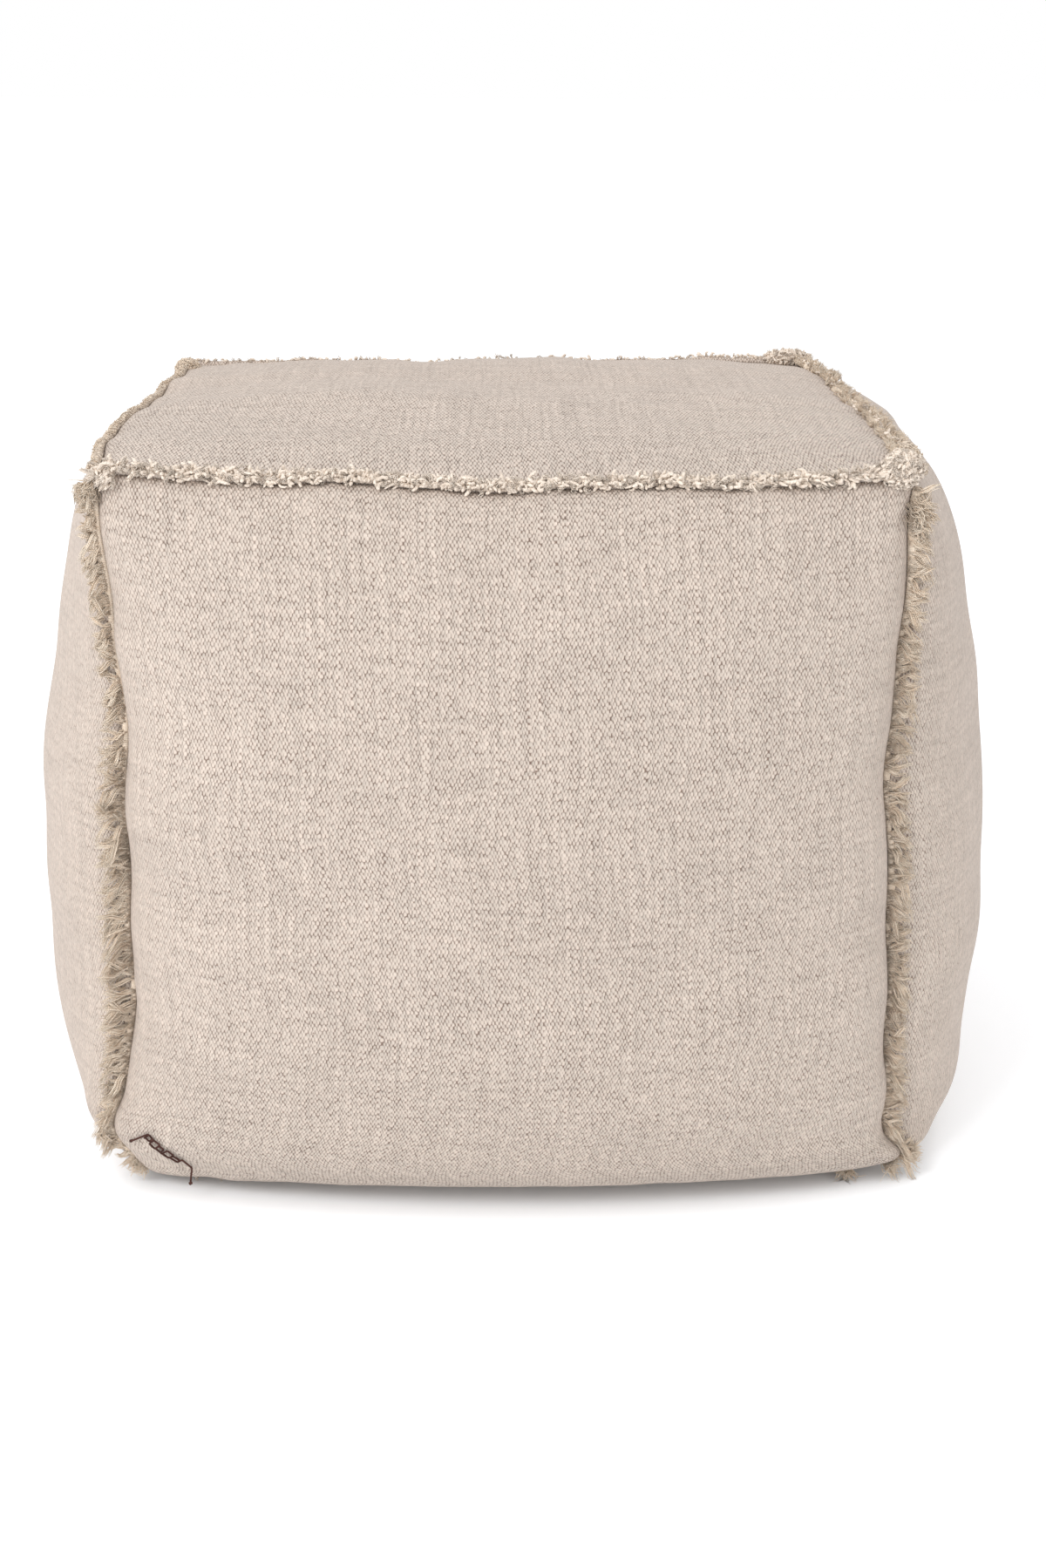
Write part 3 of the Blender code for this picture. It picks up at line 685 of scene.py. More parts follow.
def mark_crisp(mesh):
    """How clearly the beads of the weave, in relief and painted shade, stand out: full at the front,
    flatter on the side panels and towards the back of the top.
    """
    count = len(mesh.vertices)
    points = np.empty(3 * count, np.float32)
    normals = np.empty(3 * count, np.float32)
    mesh.vertices.foreach_get("co", points)
    mesh.vertices.foreach_get("normal", normals)
    points, normals = points.reshape(-1, 3), normals.reshape(-1, 3)
    sides = np.interp(np.abs(normals[:, X_AXIS]), FACING_SIDE, (0.0, 1.0))
    top = np.interp(normals[:, Z_AXIS], FACING_UP, (0.0, 1.0))
    back = np.interp(points[:, Y_AXIS], TOP_BACK_Y, (0.0, 1.0))
    flatter = top * (TOP_FLATNESS * back - TOP_CRISPNESS * (1.0 - back))
    mark(mesh, "crisp", (1.0 - SIDE_FLATNESS * sides) * (1.0 - flatter))


# ---- yarns ---------------------------------------------------------------------------------------
def path_frames(paths):
    """Two directions square to each point of many paths, with no twist from point to point."""
    tangent = normalized(np.gradient(paths, axis=1))
    hint = np.where(np.abs(tangent[:, 0, :1]) < 0.8, unit(X_AXIS), unit(Y_AXIS))
    sideways = np.empty_like(paths)
    for step in range(paths.shape[1]):
        along = tangent[:, step]
        hint = normalized(hint - along * np.sum(hint * along, axis=-1, keepdims=True))
        sideways[:, step] = hint
    return sideways, np.cross(tangent, sideways)


def plied(paths, radius, plies, pitch, splay, chance):
    """Takes each yarn apart into plies that wind round it once every pitch, and open at its tip."""
    sideways, upwards = path_frames(paths)
    turn = 2 * math.pi * lengths_along(paths) / pitch
    turn = turn + chance.uniform(0.0, 2 * math.pi, (len(paths), 1))
    open_tip = 1.0 + splay[:, None] * np.linspace(0.0, 1.0, paths.shape[1]) ** 2
    wide = (radius * open_tip)[..., None]
    made = []
    for ply in range(plies):
        angle = (turn + 2 * math.pi * ply / plies)[..., None]
        made.append(paths + wide * (np.cos(angle) * sideways + np.sin(angle) * upwards))
    return np.concatenate(made)


def closed_tubes(rings, along, around):
    """Closed tubes through rings of points: points, faces and UVs.

    rings counts tubes, steps, sides and axes. along holds one UV value for each step of each tube,
    and around one for each side and one more."""
    count, steps, sides, _ = rings.shape
    start = (np.arange(count) * steps * sides)[:, None, None]
    near = start + (np.arange(steps - 1) * sides)[None, :, None]
    far = near + sides
    here = np.arange(sides)
    ahead = (here + 1) % sides
    quads = np.stack((near + here, near + ahead, far + ahead, far + here), axis=-1).reshape(-1, 4)
    root_caps = start[:, 0] + here[::-1]
    tip_caps = start[:, 0] + (steps - 1) * sides + here
    low, high = along[:, :-1, None], along[:, 1:, None]
    corners = ((low, around[:-1]), (low, around[1:]), (high, around[1:]), (high, around[:-1]))
    uv = np.stack([np.stack(np.broadcast_arrays(*corner), axis=-1) for corner in corners], axis=-2)
    cap_uv = np.repeat(np.stack((along[:, 0], np.zeros(count)), axis=-1), sides, axis=0)
    return rings.reshape(-1, 3), [quads, root_caps, tip_caps], [uv.reshape(-1, 2), cap_uv, cap_uv]


def tubes(paths, radii, sides):
    """Closed tubes along many paths of the same number of points, with UVs in metres and turns."""
    sideways, upwards = path_frames(paths)
    angle = 2 * math.pi * np.arange(sides) / sides
    ring = sideways[:, :, None] * np.cos(angle)[:, None] + upwards[:, :, None] * np.sin(angle)[:, None]
    rings = paths[:, :, None] + ring * radii[:, :, None, None]
    along = lengths_along(paths) + np.arange(len(paths))[:, None] * UV_APART
    return closed_tubes(rings, along, np.arange(sides + 1) / sides)


def joined(parts):
    """Joins (points, face blocks, UV blocks, material number) parts into one set for make_mesh."""
    points, faces, uv, slots, start = [], [], [], [], 0
    for part_points, part_faces, part_uv, slot in parts:
        points.append(part_points)
        for block, block_uv in zip(part_faces, part_uv):
            faces.append(block + start)
            uv.append(block_uv)
            slots.append(np.full(len(block), slot, np.int32))
        start += len(part_points)
    return np.concatenate(points), faces, np.concatenate(uv), np.concatenate(slots)


def curled(roots, ways, length, curl, turns, phase, bend, steps):
    """Paths of yarns that start at roots, run along ways, curl in a helix that widens, and bend over."""
    part = np.linspace(0.0, 1.0, steps)[None, :, None]
    hint = np.where(np.abs(ways[:, :1]) < 0.8, unit(X_AXIS), unit(Y_AXIS))
    first = normalized(np.cross(ways, hint))
    second = np.cross(ways, first)
    angle = phase[:, None, None] + 2 * math.pi * turns[:, None, None] * part
    wide = curl[:, None, None] * np.minimum(part * 1.6, 1.0)
    swirl = first[:, None] * (np.cos(angle) - np.cos(phase)[:, None, None])
    swirl = swirl + second[:, None] * (np.sin(angle) - np.sin(phase)[:, None, None])
    straight = roots[:, None] + ways[:, None] * length[:, None, None] * part
    return straight + swirl * wide + bend[:, None] * part**2


def seam_frame(seam):
    """The directions of a seam's strip: along the seam, out of it, and across its thickness."""
    first_axis, second_axis = other_axes(seam.axis)
    outward = unit(first_axis, seam.first) * (1.0 - seam.lean)
    outward = normalized(outward + unit(second_axis, seam.second) * seam.lean)
    run = unit(seam.axis)
    return run, outward, np.cross(run, outward)


def at_places(share, values):
    """What a list of values at even places along a seam comes to at these shares of the way."""
    return np.interp(share, np.linspace(0.0, 1.0, len(values)), values)


def cream_yarns(seam, fray, chance):
    """Thick curly ends of the warp, in the two layers of the seam allowance."""
    run, outward, across = seam_frame(seam)
    count = fray.yarns
    share = (np.arange(count) + chance.uniform(-0.6, 1.6, count)) / count
    share = STRIP_END / 2 + np.clip(share, 0.0, 1.0) * (1.0 - STRIP_END)
    layer = np.where(np.arange(count) % 2 == 0, 1.0, -1.0)
    open_to = np.where(layer > 0, fray.open_first, fray.open_second)
    roots = seam_points(seam, share)
    roots += outward * (fray.reach * chance.uniform(*YARN_ROOTS, (count, 1)))
    roots += across * (layer * chance.uniform(0.1, 1.0, count) * fray.thick / 2)[:, None]
    ways = outward * chance.uniform(*YARN_OUTWARD, (count, 1))
    ways = ways + across * (layer * chance.uniform(0.0, 1.0, count) * open_to)[:, None]
    ways = normalized(ways + run * chance.normal(0.0, YARN_SLANT, (count, 1)))
    length = at_places(share, fray.yarn_lengths) * chance.uniform(*YARN_LENGTHS, count)
    curl = YARN_CURL * chance.uniform(*YARN_CURLS, count)
    turns = chance.uniform(*YARN_TURNS, count) * chance.choice((-1.0, 1.0), count)
    phase = chance.uniform(0.0, 2 * math.pi, count)
    bend = across * (layer * chance.uniform(0.0, 0.4, count) * length * open_to)[:, None]
    bend = bend + run * (length * chance.normal(0.0, YARN_BEND, count))[:, None]
    bend = bend - unit(Z_AXIS) * (length * chance.uniform(*YARN_DROOP, count))[:, None]
    paths = curled(roots, ways, length, curl, turns, phase, bend, YARN_STEPS)
    return yarn_ends(paths, chance)


def yarn_ends(paths, chance, radius=YARN_RADIUS):
    """Soft blunt yarns along the paths; some of them have opened into their fine threads."""
    count = len(paths)
    opened = chance.uniform(0.0, 1.0, count) < OPENED_YARNS
    thick = radius * chance.uniform(*YARN_WIDTHS, count)
    part = np.linspace(0.0, 1.0, paths.shape[1])
    blunt = tubes(paths[~opened], thick[~opened, None] * np.interp(part, *YARN_PROFILE), 5)
    apart = paths[opened]
    splay = chance.uniform(*OPENED_SPLAY, len(apart))
    plies = plied(apart, 0.55 * thick[opened, None], OPENED_INTO, PLY_PITCH, splay, chance)
    slim = np.tile(thick[opened], OPENED_INTO)[:, None] * np.interp(part, *OPENED_PROFILE)
    fine = tubes(plies, slim, 3)
    return combined_tubes(blunt, fine)


def combined_tubes(first, second):
    """Two sets of tubes as one set of points, faces and UVs."""
    start = len(first[0])
    faces = [*first[1], *[block + start for block in second[1]]]
    return np.concatenate((first[0], second[0])), faces, [*first[2], *second[2]]


def tan_locks(seam, fray, chance):
    """Fine weft threads that lie in curved locks, as combed hair does."""
    run, outward, across = seam_frame(seam)
    locks = fray.locks
    count = locks * fray.strands
    lock = np.repeat(np.arange(locks), fray.strands)
    lock_share = (np.arange(locks) + chance.uniform(0.0, 1.0, locks)) / locks
    lock_share = STRIP_END / 2 + lock_share * (1.0 - STRIP_END)
    span = np.linalg.norm(seam_end(seam, 1) - seam_end(seam, -1))
    spread = chance.normal(0.0, LOCK_WIDTH / locks, count)
    share = np.clip(lock_share[lock] + spread, STRIP_END / 5, 1.0 - STRIP_END / 5)
    layer = np.where(chance.uniform(0.0, 1.0, locks) < fray.shown, 1.0, -1.0)[lock]
    open_to = np.where(layer > 0, fray.open_first, fray.open_second)
    roots = seam_points(seam, share)
    bare = np.interp(share, *LEFT_BARE) if seam.first == LEFT else BARE
    roots += outward * (fray.reach * chance.uniform(bare, 1.0, count))[:, None]
    roots += across * (layer * chance.uniform(0.8, 1.5, count) * fray.thick / 2)[:, None]
    slant = (at_places(lock_share, fray.slant) + chance.normal(0.0, LOCK_SLANT, locks))[lock]
    slant = slant + chance.normal(0.0, STRAND_SLANT, count)
    lift = chance.uniform(0.0, 1.0, locks)[lock] * layer * open_to
    lift = lift + chance.normal(0.0, STRAND_LIFT, count)
    ways = normalized(outward + run * slant[:, None] + across * lift[:, None])
    length = at_places(share, fray.lock_lengths) * chance.uniform(*LOCK_LENGTHS, locks)[lock]
    length = length * chance.uniform(*STRAND_LENGTHS, count)
    curl = LOCK_CURL * np.minimum(length / FULL_CURL_LENGTH, 1.0)
    curl = curl * chance.uniform(*LOCK_CURLS, locks)[lock] * chance.uniform(*STRAND_CURLS, count)
    turns = (chance.uniform(*LOCK_TURNS, locks) * chance.choice((-1.0, 1.0), locks))[lock]
    phase = chance.uniform(0.0, 2 * math.pi, locks)[lock]
    phase = phase + chance.normal(0.0, STRAND_PHASE, count)
    bow = run * (chance.normal(0.0, LOCK_BOW, locks)[lock] * length)[:, None]
    bow = bow - run * (spread * span * STRANDS_MEET)[:, None]
    bow = bow + across * (layer * chance.uniform(0.0, 0.3, locks)[lock] * length)[:, None]
    bow = bow - unit(Z_AXIS) * (LOCK_DROOP * length)[:, None]
    return fine_threads(curled(roots, ways, length, curl, turns, phase, bow, LOCK_STEPS), chance)


def nap_over_strip(seam, fray, chance):
    """Short fine threads all over a strip, brushed along it."""
    run, outward, across = seam_frame(seam)
    count = fray.nap
    share = chance.uniform(STRIP_END / 2, 1.0 - STRIP_END / 2, count)
    angle = chance.uniform(-NAP_ROUND, NAP_ROUND, count) * math.pi
    over = outward * np.cos(angle)[:, None] + across * np.sin(angle)[:, None]
    roots = seam_points(seam, share)
    roots += outward * (fray.reach * (0.5 + 0.45 * np.cos(angle)))[:, None]
    roots += across * (fray.thick / 2 * 1.02 * np.sin(angle))[:, None]
    ways = normalized(NAP_LIFT * over - run + chance.normal(0.0, NAP_SPREAD, (count, 3)))
    length = NAP_LENGTH * chance.uniform(*NAP_LENGTHS, count)
    bend = over * (NAP_BEND * length)[:, None]
    part = np.linspace(0.0, 1.0, NAP_STEPS)[None, :, None]
    paths = roots[:, None] + ways[:, None] * length[:, None, None] * part
    return fine_threads(paths - bend[:, None] * part**2, chance)


def fine_threads(paths, chance):
    """Thin threads along the paths, thinner still at their tips."""
    slim = chance.uniform(*THREAD_WIDTHS, (len(paths), 1))
    taper = np.interp(np.linspace(0.0, 1.0, paths.shape[1]), *THREAD_PROFILE)
    return tubes(paths, THREAD_RADIUS * slim * taper, 3)


def corner_bunch(tuft, chance):
    """A bunch of yarns or fine threads that fan out where strips meet at a corner."""
    seam = SEAM_NAMED[tuft.seam]
    _, outward, _ = seam_frame(seam)
    count = tuft.count
    root = seam_points(seam, tuft.share) + outward * tuft.out
    from_root = normalized(chance.normal(0.0, 1.0, (count, 3)))
    roots = root + from_root * chance.uniform(0.0, tuft.size, (count, 1))
    aim = normalized(np.array(tuft.aim))
    ways = normalized(aim + chance.normal(0.0, tuft.fan, (count, 3)))
    length = tuft.length * chance.uniform(*TUFT_LENGTHS, count)
    steps = LOCK_STEPS if tuft.fine else YARN_STEPS
    curl = TUFT_CURL[tuft.fine] * chance.uniform(*TUFT_CURLS, count)
    turns = chance.uniform(*TUFT_TURNS, count) * chance.choice((-1.0, 1.0), count)
    phase = chance.uniform(0.0, 2 * math.pi, count)
    bend = np.cross(ways, chance.normal(0.0, TUFT_BEND, (count, 3))) * length[:, None]
    paths = curled(roots, ways, length, curl, turns, phase, bend, steps)
    return fine_threads(paths, chance) if tuft.fine else yarn_ends(paths, chance)


def knob_of_fray(knob, chance):
    """A round knob, covered all over with short yarns or fine threads that lie over it."""
    centre = seam_points(SEAM_NAMED[knob.seam], knob.share) + np.array(knob.shift)
    half = np.array(knob.half)
    count = knob.count
    way = normalized(chance.normal(0.0, 1.0, (count, 3)))
    out = normalized(way / half)
    over = np.cross(out, chance.normal(0.0, 1.0, (count, 3)))
    over = normalized(over + KNOB_COMBED * np.cross(out, unit(Y_AXIS)))
    ways = normalized(chance.uniform(*KNOB_LIFT, (count, 1)) * out + over)
    length = knob.length * chance.uniform(*KNOB_LENGTHS, count)
    curl = length * chance.uniform(*KNOB_CURLS, count)
    turns = chance.uniform(*KNOB_TURNS, count)
    phase = chance.uniform(0.0, 2 * math.pi, count)
    roots = centre + way * half * KNOB_ROOTS
    bend = -KNOB_BEND * out * length[:, None]
    paths = curled(roots, ways, length, curl, turns, phase, bend, KNOB_STEPS)
    cover = fine_threads(paths, chance) if knob.fine else yarn_ends(paths, chance, KNOB_YARN_RADIUS)
    place = np.sin(np.linspace(-0.47, 0.47, KNOB_CORE_STEPS) * math.pi)
    spine = centre + unit(X_AXIS) * (KNOB_CORE * half[0] * place)[:, None]
    radii = KNOB_CORE * (half[1] + half[2]) / 2 * np.sqrt(1.0 - place**2)
    return tubes(spine[None], radii[None], KNOB_CORE_SIDES), cover


def strip_of_cloth(seam, fray):
    """The unfrayed part of the seam allowance: a closed band of two layers."""
    _, outward, across = seam_frame(seam)
    share = np.linspace(STRIP_END / 2, 1.0 - STRIP_END / 2, STRIP_STEPS)
    line = seam_points(seam, share)
    place = share * SEAM_SPAN
    seeds = (round(10 * seam.phase), 31, 57)
    bumps = [smooth_noise(place, seed, step) for seed, step in zip(seeds, STRIP_UNEVEN)]
    reach = fray.reach * (1.0 + STRIP_RAGGED * bumps[0])
    sway = STRIP_SWAY * bumps[1]
    half = fray.thick / 2 * (1.0 + STRIP_LUMPY * bumps[2])
    rows = []
    for out, thick in STRIP_RING:
        row = line + outward * (out * reach)[:, None]
        rows.append(row + across * (thick * half + sway * out)[:, None])
    around = [out * fray.reach * (1 if thick < 0 else -1) for out, thick in STRIP_RING]
    around = np.array([*around, around[0]])
    return closed_tubes(np.stack(rows, axis=1)[None], place[None], around)


def crease_shade_from_seam(seam, points):
    """How strong the painted shade in the crease of a seam is: 1 in the crease, and less and less further
    out of it.
    """
    start, end = seam_end(seam, -1)[seam.axis], seam_end(seam, 1)[seam.axis]
    share = np.clip((points[:, seam.axis] - start) / (end - start), 0.0, 1.0)
    _, outward, _ = seam_frame(seam)
    out = (points - seam_points(seam, share)) @ outward
    return np.exp(-np.maximum(out, 0.0) / FRAY_CREASE_SHADE)


def build_fringe(fray, number, materials):
    """One frayed seam allowance: its strip of cloth, its thick yarns and its fine threads."""
    seam = SEAM_NAMED[fray.seam]
    chance = np.random.default_rng(number + 1)
    # a strip under nap alone takes the darker core cotton, painted shade under its nap
    strip_material = TAN if fray.locks else SHADED_CORE if fray.nap else CLOTH
    parts = [(*strip_of_cloth(seam, fray), strip_material)]
    if fray.yarns:
        parts.append((*cream_yarns(seam, fray, chance), CREAM))
    if fray.locks:
        parts.append((*tan_locks(seam, fray, chance), TAN))
    if fray.nap:
        parts.append((*nap_over_strip(seam, fray, chance), TAN))
    for tuft in TUFTS:
        if tuft.seam == fray.seam:
            parts.append((*corner_bunch(tuft, chance), tuft.colour))
    for knob in KNOBS:
        if knob.seam == fray.seam:
            core, cover = knob_of_fray(knob, chance)
            # a knob of fine threads has the darker core cotton, painted shade under its cover
            parts += [(*core, SHADED_CORE if knob.fine else CREAM), (*cover, knob.colour)]
    points, faces, uv, slots = joined(parts)
    points[:, Z_AXIS] = np.maximum(points[:, Z_AXIS], LEAST_HEIGHT)
    fringe = make_mesh("frayed_" + fray.seam, points, faces, uv)
    for name in FRINGE_MATERIALS:
        fringe.data.materials.append(materials[name])
    fringe.data.polygons.foreach_set("material_index", slots)
    mark(fringe.data, "crisp", np.full(len(points), FRAY_CRISPNESS))
    # painted shade in the crease of the seam, only on strips with locks
    mark(fringe.data, "painted_crease_shade", crease_shade_from_seam(seam, points) if fray.locks else np.zeros(len(points)))
    return fringe


# ---- the hand stitch -----------------------------------------------------------------------------
def over_cloth(place):
    """A point of the thread over the front panel, and the way out of the cloth there."""
    front = PANEL_NAMED["front"]
    step = 0.002
    across, along = place
    places = ((across, along), (across + step, along), (across, along + step))
    here, beyond, above = (panel_points(front, np.array(a), np.array(b)) for a, b in places)
    out = normalized(np.cross(beyond - here, above - here))
    return here + out * THREAD_LIFT, out


def bar_corners(side, lift, chance):
    """The corners of the back-and-forth path that the thread takes over the closed slit."""
    ahead = over_cloth(LAST_BAR)[0] - over_cloth(FIRST_BAR)[0]
    corners = []
    for share in np.linspace(0.0, 1.0, STITCH_BARS):
        point, out = over_cloth(mixed(np.array(FIRST_BAR), np.array(LAST_BAR), share))
        point = point + out * lift
        sideways = normalized(np.cross(out, ahead)) * STITCH_HALF_WIDTH
        sideways = sideways * chance.uniform(*BAR_WIDTHS)
        point = point + normalized(ahead) * chance.normal(0.0, STITCH_STRAY)
        corners += [point + sideways * side, point - sideways * side]
        side = -side
    return corners


def rounded(corners):
    """The path with two points in place of each corner between its ends."""
    path = [corners[0]]
    for before, corner, after in zip(corners, corners[1:], corners[2:]):
        path.append(corner + normalized(before - corner) * THREAD_TURN)
        path.append(corner + normalized(after - corner) * THREAD_TURN)
    path.append(corners[-1])
    return np.array(path)


def knot(centre, chance):
    """A thread wound round itself a few times."""
    turn = np.linspace(0.0, 1.0, KNOT_STEPS)[:, None]
    angle = 2 * math.pi * KNOT_TURNS * turn
    first, second = unit(X_AXIS), unit(Z_AXIS)
    coil = first * np.cos(angle) + second * np.sin(angle) * np.cos(1.7 * angle)
    coil = coil - unit(Y_AXIS) * 0.5 * np.sin(angle)
    return centre + KNOT_RADIUS * coil + chance.normal(0.0, KNOT_STRAY, 3)


def twisted(corners, chance):
    """A thread of several plies along a path that is rounded at its corners."""
    corners = rounded(corners)
    run = lengths_along(corners[None])[0]
    even = np.linspace(0.0, run[-1], STITCH_STEPS)
    path = np.stack([np.interp(even, run, values) for values in corners.T], axis=-1)
    orbit = np.array([[PLY_ORBIT]])
    plies = plied(path[None], orbit, STITCH_PLIES, STITCH_PITCH, np.zeros(1), chance)
    return tubes(plies, np.full(plies.shape[:2], PLY_RADIUS), PLY_SIDES)


def build_stitch(material):
    """A twisted thread: a knot, bars back and forth over the slit, and a hanging end with a knot.

    A second thread goes back over the slit, between the bars of the first."""
    chance = np.random.default_rng(60)
    first_end, lip = over_cloth(FIRST_KNOT)[0], over_cloth(HANGING)[0]
    last_end = lip + np.array(DROP)
    there = [first_end, *bar_corners(1, 0.0, chance), lip, last_end]
    back = bar_corners(-1, STITCH_RADIUS, chance)
    parts = [(*twisted(there, chance), 0), (*twisted(back, chance), 0)]
    for end in (first_end, last_end):
        coil = knot(end, chance)[None]
        parts.append((*tubes(coil, np.full(coil.shape[:2], KNOT_THREAD), PLY_SIDES), 0))
    points, faces, uv, _ = joined(parts)
    points[:, Z_AXIS] = np.maximum(points[:, Z_AXIS], 0.0)
    stitch = make_mesh("stitch_thread", points, faces, uv)
    stitch.data.materials.append(material)
    return stitch


# ---- materials -----------------------------------------------------------------------------------
class Value:
    """What a shader node puts out. Arithmetic with it adds a node for each sign."""

    def __init__(self, socket):
        self.socket = socket
        self.tree = socket.id_data

    def math(self, operation, *others, clamp=False):
        inputs = dict(enumerate((self, *others)))
        return Value(new_node(self.tree, "Math", inputs, operation=operation, use_clamp=clamp).outputs[0])

    def __add__(self, other):
        return self.math("ADD", other)

    def __sub__(self, other):
        return self.math("SUBTRACT", other)

    def __rsub__(self, other):
        return self * -1.0 + other

    def __mul__(self, other):
        return self.math("MULTIPLY", other)

    def __truediv__(self, other):
        return self.math("DIVIDE", other)

    def __lt__(self, other):
        return self.math("LESS_THAN", other)


def set_inputs(node, inputs):
    """Sets inputs of a node, by their names or numbers, to numbers, colours or Values."""
    for key, value in inputs.items():
        if isinstance(value, Value):
            value.tree.links.new(value.socket, node.inputs[key])
        else:
            node.inputs[key].default_value = value


def new_node(tree, kind, inputs, **settings):
    node = tree.nodes.new("ShaderNode" + kind)
    for name, setting in settings.items():
        setattr(node, name, setting)
    set_inputs(node, inputs)
    return node


def attribute(tree, name):
    return Value(new_node(tree, "Attribute", {}, attribute_name=name).outputs["Fac"])


def cloth_place(tree):
    """Where a point lies on the flat cloth, or along its yarn and round it."""
    return Value(new_node(tree, "UVMap", {}, uv_map="weave").outputs[0])


def vector(x, y, z=0.0):
    return Value(new_node(x.tree, "CombineXYZ", {0: x, 1: y, 2: z}).outputs[0])


def parts_of(value, kind="XYZ"):
    """The three numbers in a vector, or in a colour."""
    node = new_node(value.tree, "Separate" + kind, {0: value})
    return [Value(node.outputs[number]) for number in range(3)]


def noise(place, scale, detail=2.0, roughness=0.5):
    inputs = {"Vector": place, "Scale": scale, "Detail": detail, "Roughness": roughness}
    return Value(new_node(place.tree, "TexNoise", inputs).outputs["Fac"])


def uneven(column, row, kind):
    """How strong this kind of unevenness is, 0 to 1."""
    place = vector(column * kind.to_column, row * kind.to_row, kind.layer)
    return noise(place, 1.0, kind.detail, kind.roughness)


def spanned(share, ends):
    """From the first of the ends, where the share is 0, to the second."""
    return share * (ends[1] - ends[0]) + ends[0]


def ramp(value, low, high):
    """0 below low, 1 above high, smooth between."""
    inputs = {"Value": value, "From Min": low, "From Max": high}
    node = new_node(value.tree, "MapRange", inputs, interpolation_type="SMOOTHSTEP")
    return Value(node.outputs["Result"])


def mixed_colour(tree, share, first, second, blend="MIX"):
    inputs = {"Factor": share, 6: first, 7: second}
    return Value(new_node(tree, "Mix", inputs, data_type="RGBA", blend_type=blend).outputs[2])


def new_material(name, sheen):
    """A matt cotton: the material, its node tree and its shader."""
    material = bpy.data.materials.new(name)
    material.use_nodes = True
    tree = material.node_tree
    shader = tree.nodes["Principled BSDF"]
    inputs = {"Roughness": 0.9, "Specular IOR Level": 0.15, "Sheen Weight": sheen, "Sheen Roughness": 0.5}
    set_inputs(shader, inputs)
    return material, tree, shader


def finish_cotton(tree, shader, colour, height, strength, depth):
    """Gives the shader its relief, and its colour, with painted shade that makes it darker and browner in
    the creases.
    """
    painted_crease_shade = attribute(tree, "painted_crease_shade") * CREASE_SHADE_DEPTH
    bump = new_node(tree, "Bump", {"Strength": strength, "Distance": depth, "Height": height})
    shaded = mixed_colour(tree, painted_crease_shade, colour, CREASE_SHADE_COLOUR)
    set_inputs(shader, {"Base Color": shaded, "Normal": Value(bump.outputs[0])})


def beads_of(column, row, seed):
    """Every second column of beads: the squared distance from the middle of the nearest one, which is
    1 where it meets its neighbour in the same row, and the bead's own chances."""
    pair = (column * 0.5).math("ROUND")
    turn = row.math("ROUND")
    inputs = {"Vector": vector(pair + seed, turn)}
    own = Value(new_node(column.tree, "TexWhiteNoise", inputs, noise_dimensions="2D").outputs["Color"])
    own_side, own_rise, own_size = parts_of(own, "Color")
    side = column - pair * 2.0 + (own_side - 0.5) * BEAD_CHANCE
    rise = (row - turn + (own_rise - 0.5) * (0.5 * BEAD_CHANCE)) * BEAD_SLIM
    return (side * side + rise * rise) * spanned(own_size, BEAD_SIZES), own


def flecks(place):
    """1 on a seed fleck and 0 elsewhere."""
    fleck = new_node(place.tree, "TexVoronoi", {"Scale": FLECKS, "Vector": place})
    near = Value(fleck.outputs["Distance"]) < FLECK_RADIUS
    return near * (parts_of(Value(fleck.outputs["Color"]), "Color")[0] < FLECK_SHARE)


def weave_material():
    """Plain weave of thick warp yarns: oval beads in columns, each next column half a bead on."""
    material, tree, shader = new_material("cream_weave", 0.12)
    place = cloth_place(tree)
    across, along, _ = parts_of(place)
    column, row = across / COLUMN, along / BEAD
    # a slow shift along the columns makes some yarns wider, and another lets the rows wander
    column = column + (uneven(column, row, SWAY) - 0.5) * SWAY_SHIFT
    row = row + (uneven(column, row, WANDER) - 0.5) * WANDER_SHIFT
    # the even columns of beads, and the odd ones, which lie half a bead further on
    first, first_own = beads_of(column, row, 0.0)
    second, second_own = beads_of(column + 1.0, row + 0.5, 31.0)
    from_middle = first.math("MINIMUM", second)
    own_light, own_colour, _ = parts_of(mixed_colour(tree, second < first, first_own, second_own), "Color")
    streak, weft = uneven(column, row, STREAK), uneven(column, row, WEFT_STREAK)
    light = spanned(streak, STREAK_LIGHT) * spanned(weft, WEFT_LIGHT) * spanned(own_light, BEAD_LIGHT)
    light = light * spanned(noise(place, CLOUDS, 3.0), CLOUD_LIGHT)
    # the painted shade in the gaps between the beads: deeper where the cloth is loose, or where two yarns
    # have parted
    worn_shade = ramp(uneven(column, row, WORN_SHADE), *WORN_SHADE_BOUNDS)
    parted = 1.0 - ramp(streak.math("MINIMUM", weft), *PARTED_BOUNDS)
    depth = spanned(worn_shade, GAP_SHADES) + parted * PARTED_SHADE
    crisp = attribute(tree, "crisp")
    contrast = spanned(noise(place, CONTRAST_PATCHES), CONTRASTS) * crisp
    # painted shade, darker towards the edge of each bead and in the gaps between them, in place of the
    # shadow of their relief
    shade = ramp(from_middle, *GAP_SHADE_BOUNDS) * depth - MEAN_SHADE
    shade = shade.math("MULTIPLY_ADD", contrast, MEAN_SHADE, clamp=True)
    crest = mixed_colour(tree, own_colour, WARM_COTTON, COOL_COTTON)
    colour = mixed_colour(tree, shade, crest, GAP_SHADE_COLOUR)
    colour = mixed_colour(tree, 1.0, colour, vector(light, light, light), "MULTIPLY")
    colour = mixed_colour(tree, flecks(place) * FLECK_STRENGTH, colour, FLECK_COLOUR)
    raised = 1.0 - from_middle + uneven(column, row, FIBRE) * FIBRE_HEIGHT + streak * SLUB_HEIGHT
    finish_cotton(tree, shader, colour, raised * crisp, 1.0, WEAVE_DEPTH)
    return material


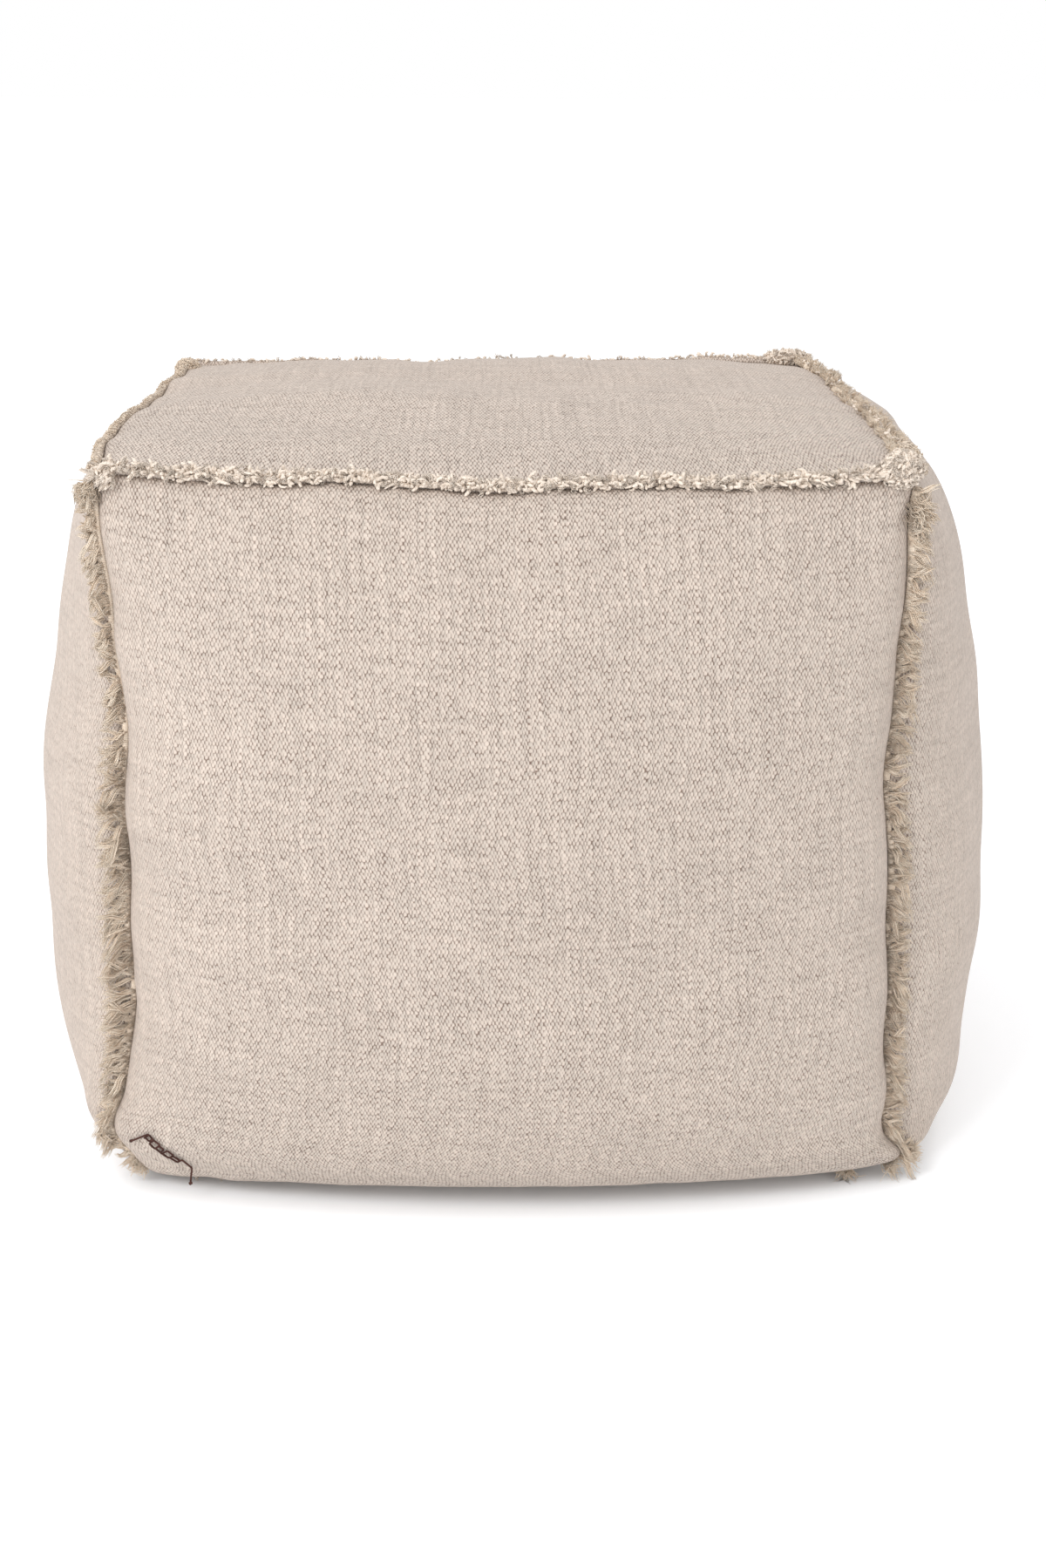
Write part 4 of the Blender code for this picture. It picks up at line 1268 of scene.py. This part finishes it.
def cotton_material(cotton):
    """Loose cotton: lighter and darker strands, and the twist of each yarn as low relief."""
    material, tree, shader = new_material(cotton.name, cotton.sheen)
    dark, light = (*cotton.dark, 1.0), (*cotton.light, 1.0)
    set_inputs(shader, {"Sheen Tint": light})
    strand = Value(new_node(tree, "NewGeometry", {}).outputs["Random Per Island"])
    patches = noise(Value(new_node(tree, "TexCoord", {}).outputs["Object"]), cotton.patches)
    tone = strand * cotton.differ + patches - 0.2
    colour = mixed_colour(tree, ramp(tone, cotton.low, cotton.high), dark, light)
    length, round_it, _ = parts_of(cloth_place(tree))
    wave = ((length / cotton.turn + round_it * 2.0) * (2 * math.pi)).math("SINE")
    finish_cotton(tree, shader, colour, wave, TWIST_STRENGTH, TWIST_DEPTH)
    return material


# ---- camera, light and floor ---------------------------------------------------------------------
def make_camera():
    data = bpy.data.cameras.new("camera")
    data.lens = LENS
    data.clip_start = 0.01
    data.clip_end = 200.0
    camera = bpy.data.objects.new("camera", data)
    bpy.context.scene.collection.objects.link(camera)
    turn = Matrix.Rotation(-CAMERA_YAW, 4, "Z")
    tilt = Matrix.Rotation(math.pi / 2 - CAMERA_PITCH, 4, "X")
    roll = Matrix.Rotation(CAMERA_ROLL, 4, "Z")
    camera.matrix_world = Matrix.Translation(CAMERA_PLACE) @ turn @ tilt @ roll
    bpy.context.scene.camera = camera


def make_key_light():
    data = bpy.data.lights.new("key", "AREA")
    data.shape = "RECTANGLE"
    data.size, data.size_y = KEY_SIZE
    data.energy = KEY_POWER
    light = bpy.data.objects.new("key", data)
    bpy.context.scene.collection.objects.link(light)
    away = (Vector(KEY_TARGET) - Vector(KEY_PLACE)).to_track_quat("-Z", "Y")
    light.matrix_world = Matrix.Translation(KEY_PLACE) @ away.to_matrix().to_4x4()


def make_floor():
    """A pale floor that glows a little, but not close to what stands on it, where the dimmed glow is a
    painted contact shadow.
    """
    corners = np.array([(-1, -1, 0), (1, -1, 0), (1, 1, 0), (-1, 1, 0)]) * FLOOR_HALF
    floor = make_mesh("floor", corners, [np.array([[0, 1, 2, 3]])])
    material = bpy.data.materials.new("pale_floor")
    material.use_nodes = True
    tree = material.node_tree
    # the glow dims near the stool: a painted contact shadow
    near = new_node(tree, "AmbientOcclusion", {"Distance": CONTACT_SHADOW_REACH}, samples=8)
    set_inputs(tree.nodes["Principled BSDF"], {
        "Base Color": FLOOR_COLOUR,
        "Roughness": 0.9,
        "Specular IOR Level": 0.0,
        "Emission Color": WHITE,
        "Emission Strength": Value(near.outputs["AO"]) * FLOOR_GLOW,
    })
    floor.data.materials.append(material)
    return floor


def make_stage():
    world = bpy.data.worlds.new("studio")
    bpy.context.scene.world = world
    world.use_nodes = True
    set_inputs(world.node_tree.nodes["Background"], {"Color": WHITE, "Strength": 1.0})
    make_floor()
    make_key_light()


# ---- the whole -----------------------------------------------------------------------------------
def main():
    make_camera()
    make_stage()
    bpy.context.scene.view_settings.view_transform = "Standard"
    materials = {cotton.name: cotton_material(cotton) for cotton in COTTONS}
    materials["cream_weave"] = weave_material()
    body = build_body(materials["cream_weave"])
    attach(body, "root")
    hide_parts("pouf_body")
    for number, fray in enumerate(FRAYS):
        fringe = build_fringe(fray, number, materials)
        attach(fringe, "root")
        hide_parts("fringe_" + fray.seam)
    stitch = build_stitch(materials["brown_thread"])
    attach(stitch, "root")
    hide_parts("hand_stitch")


main()
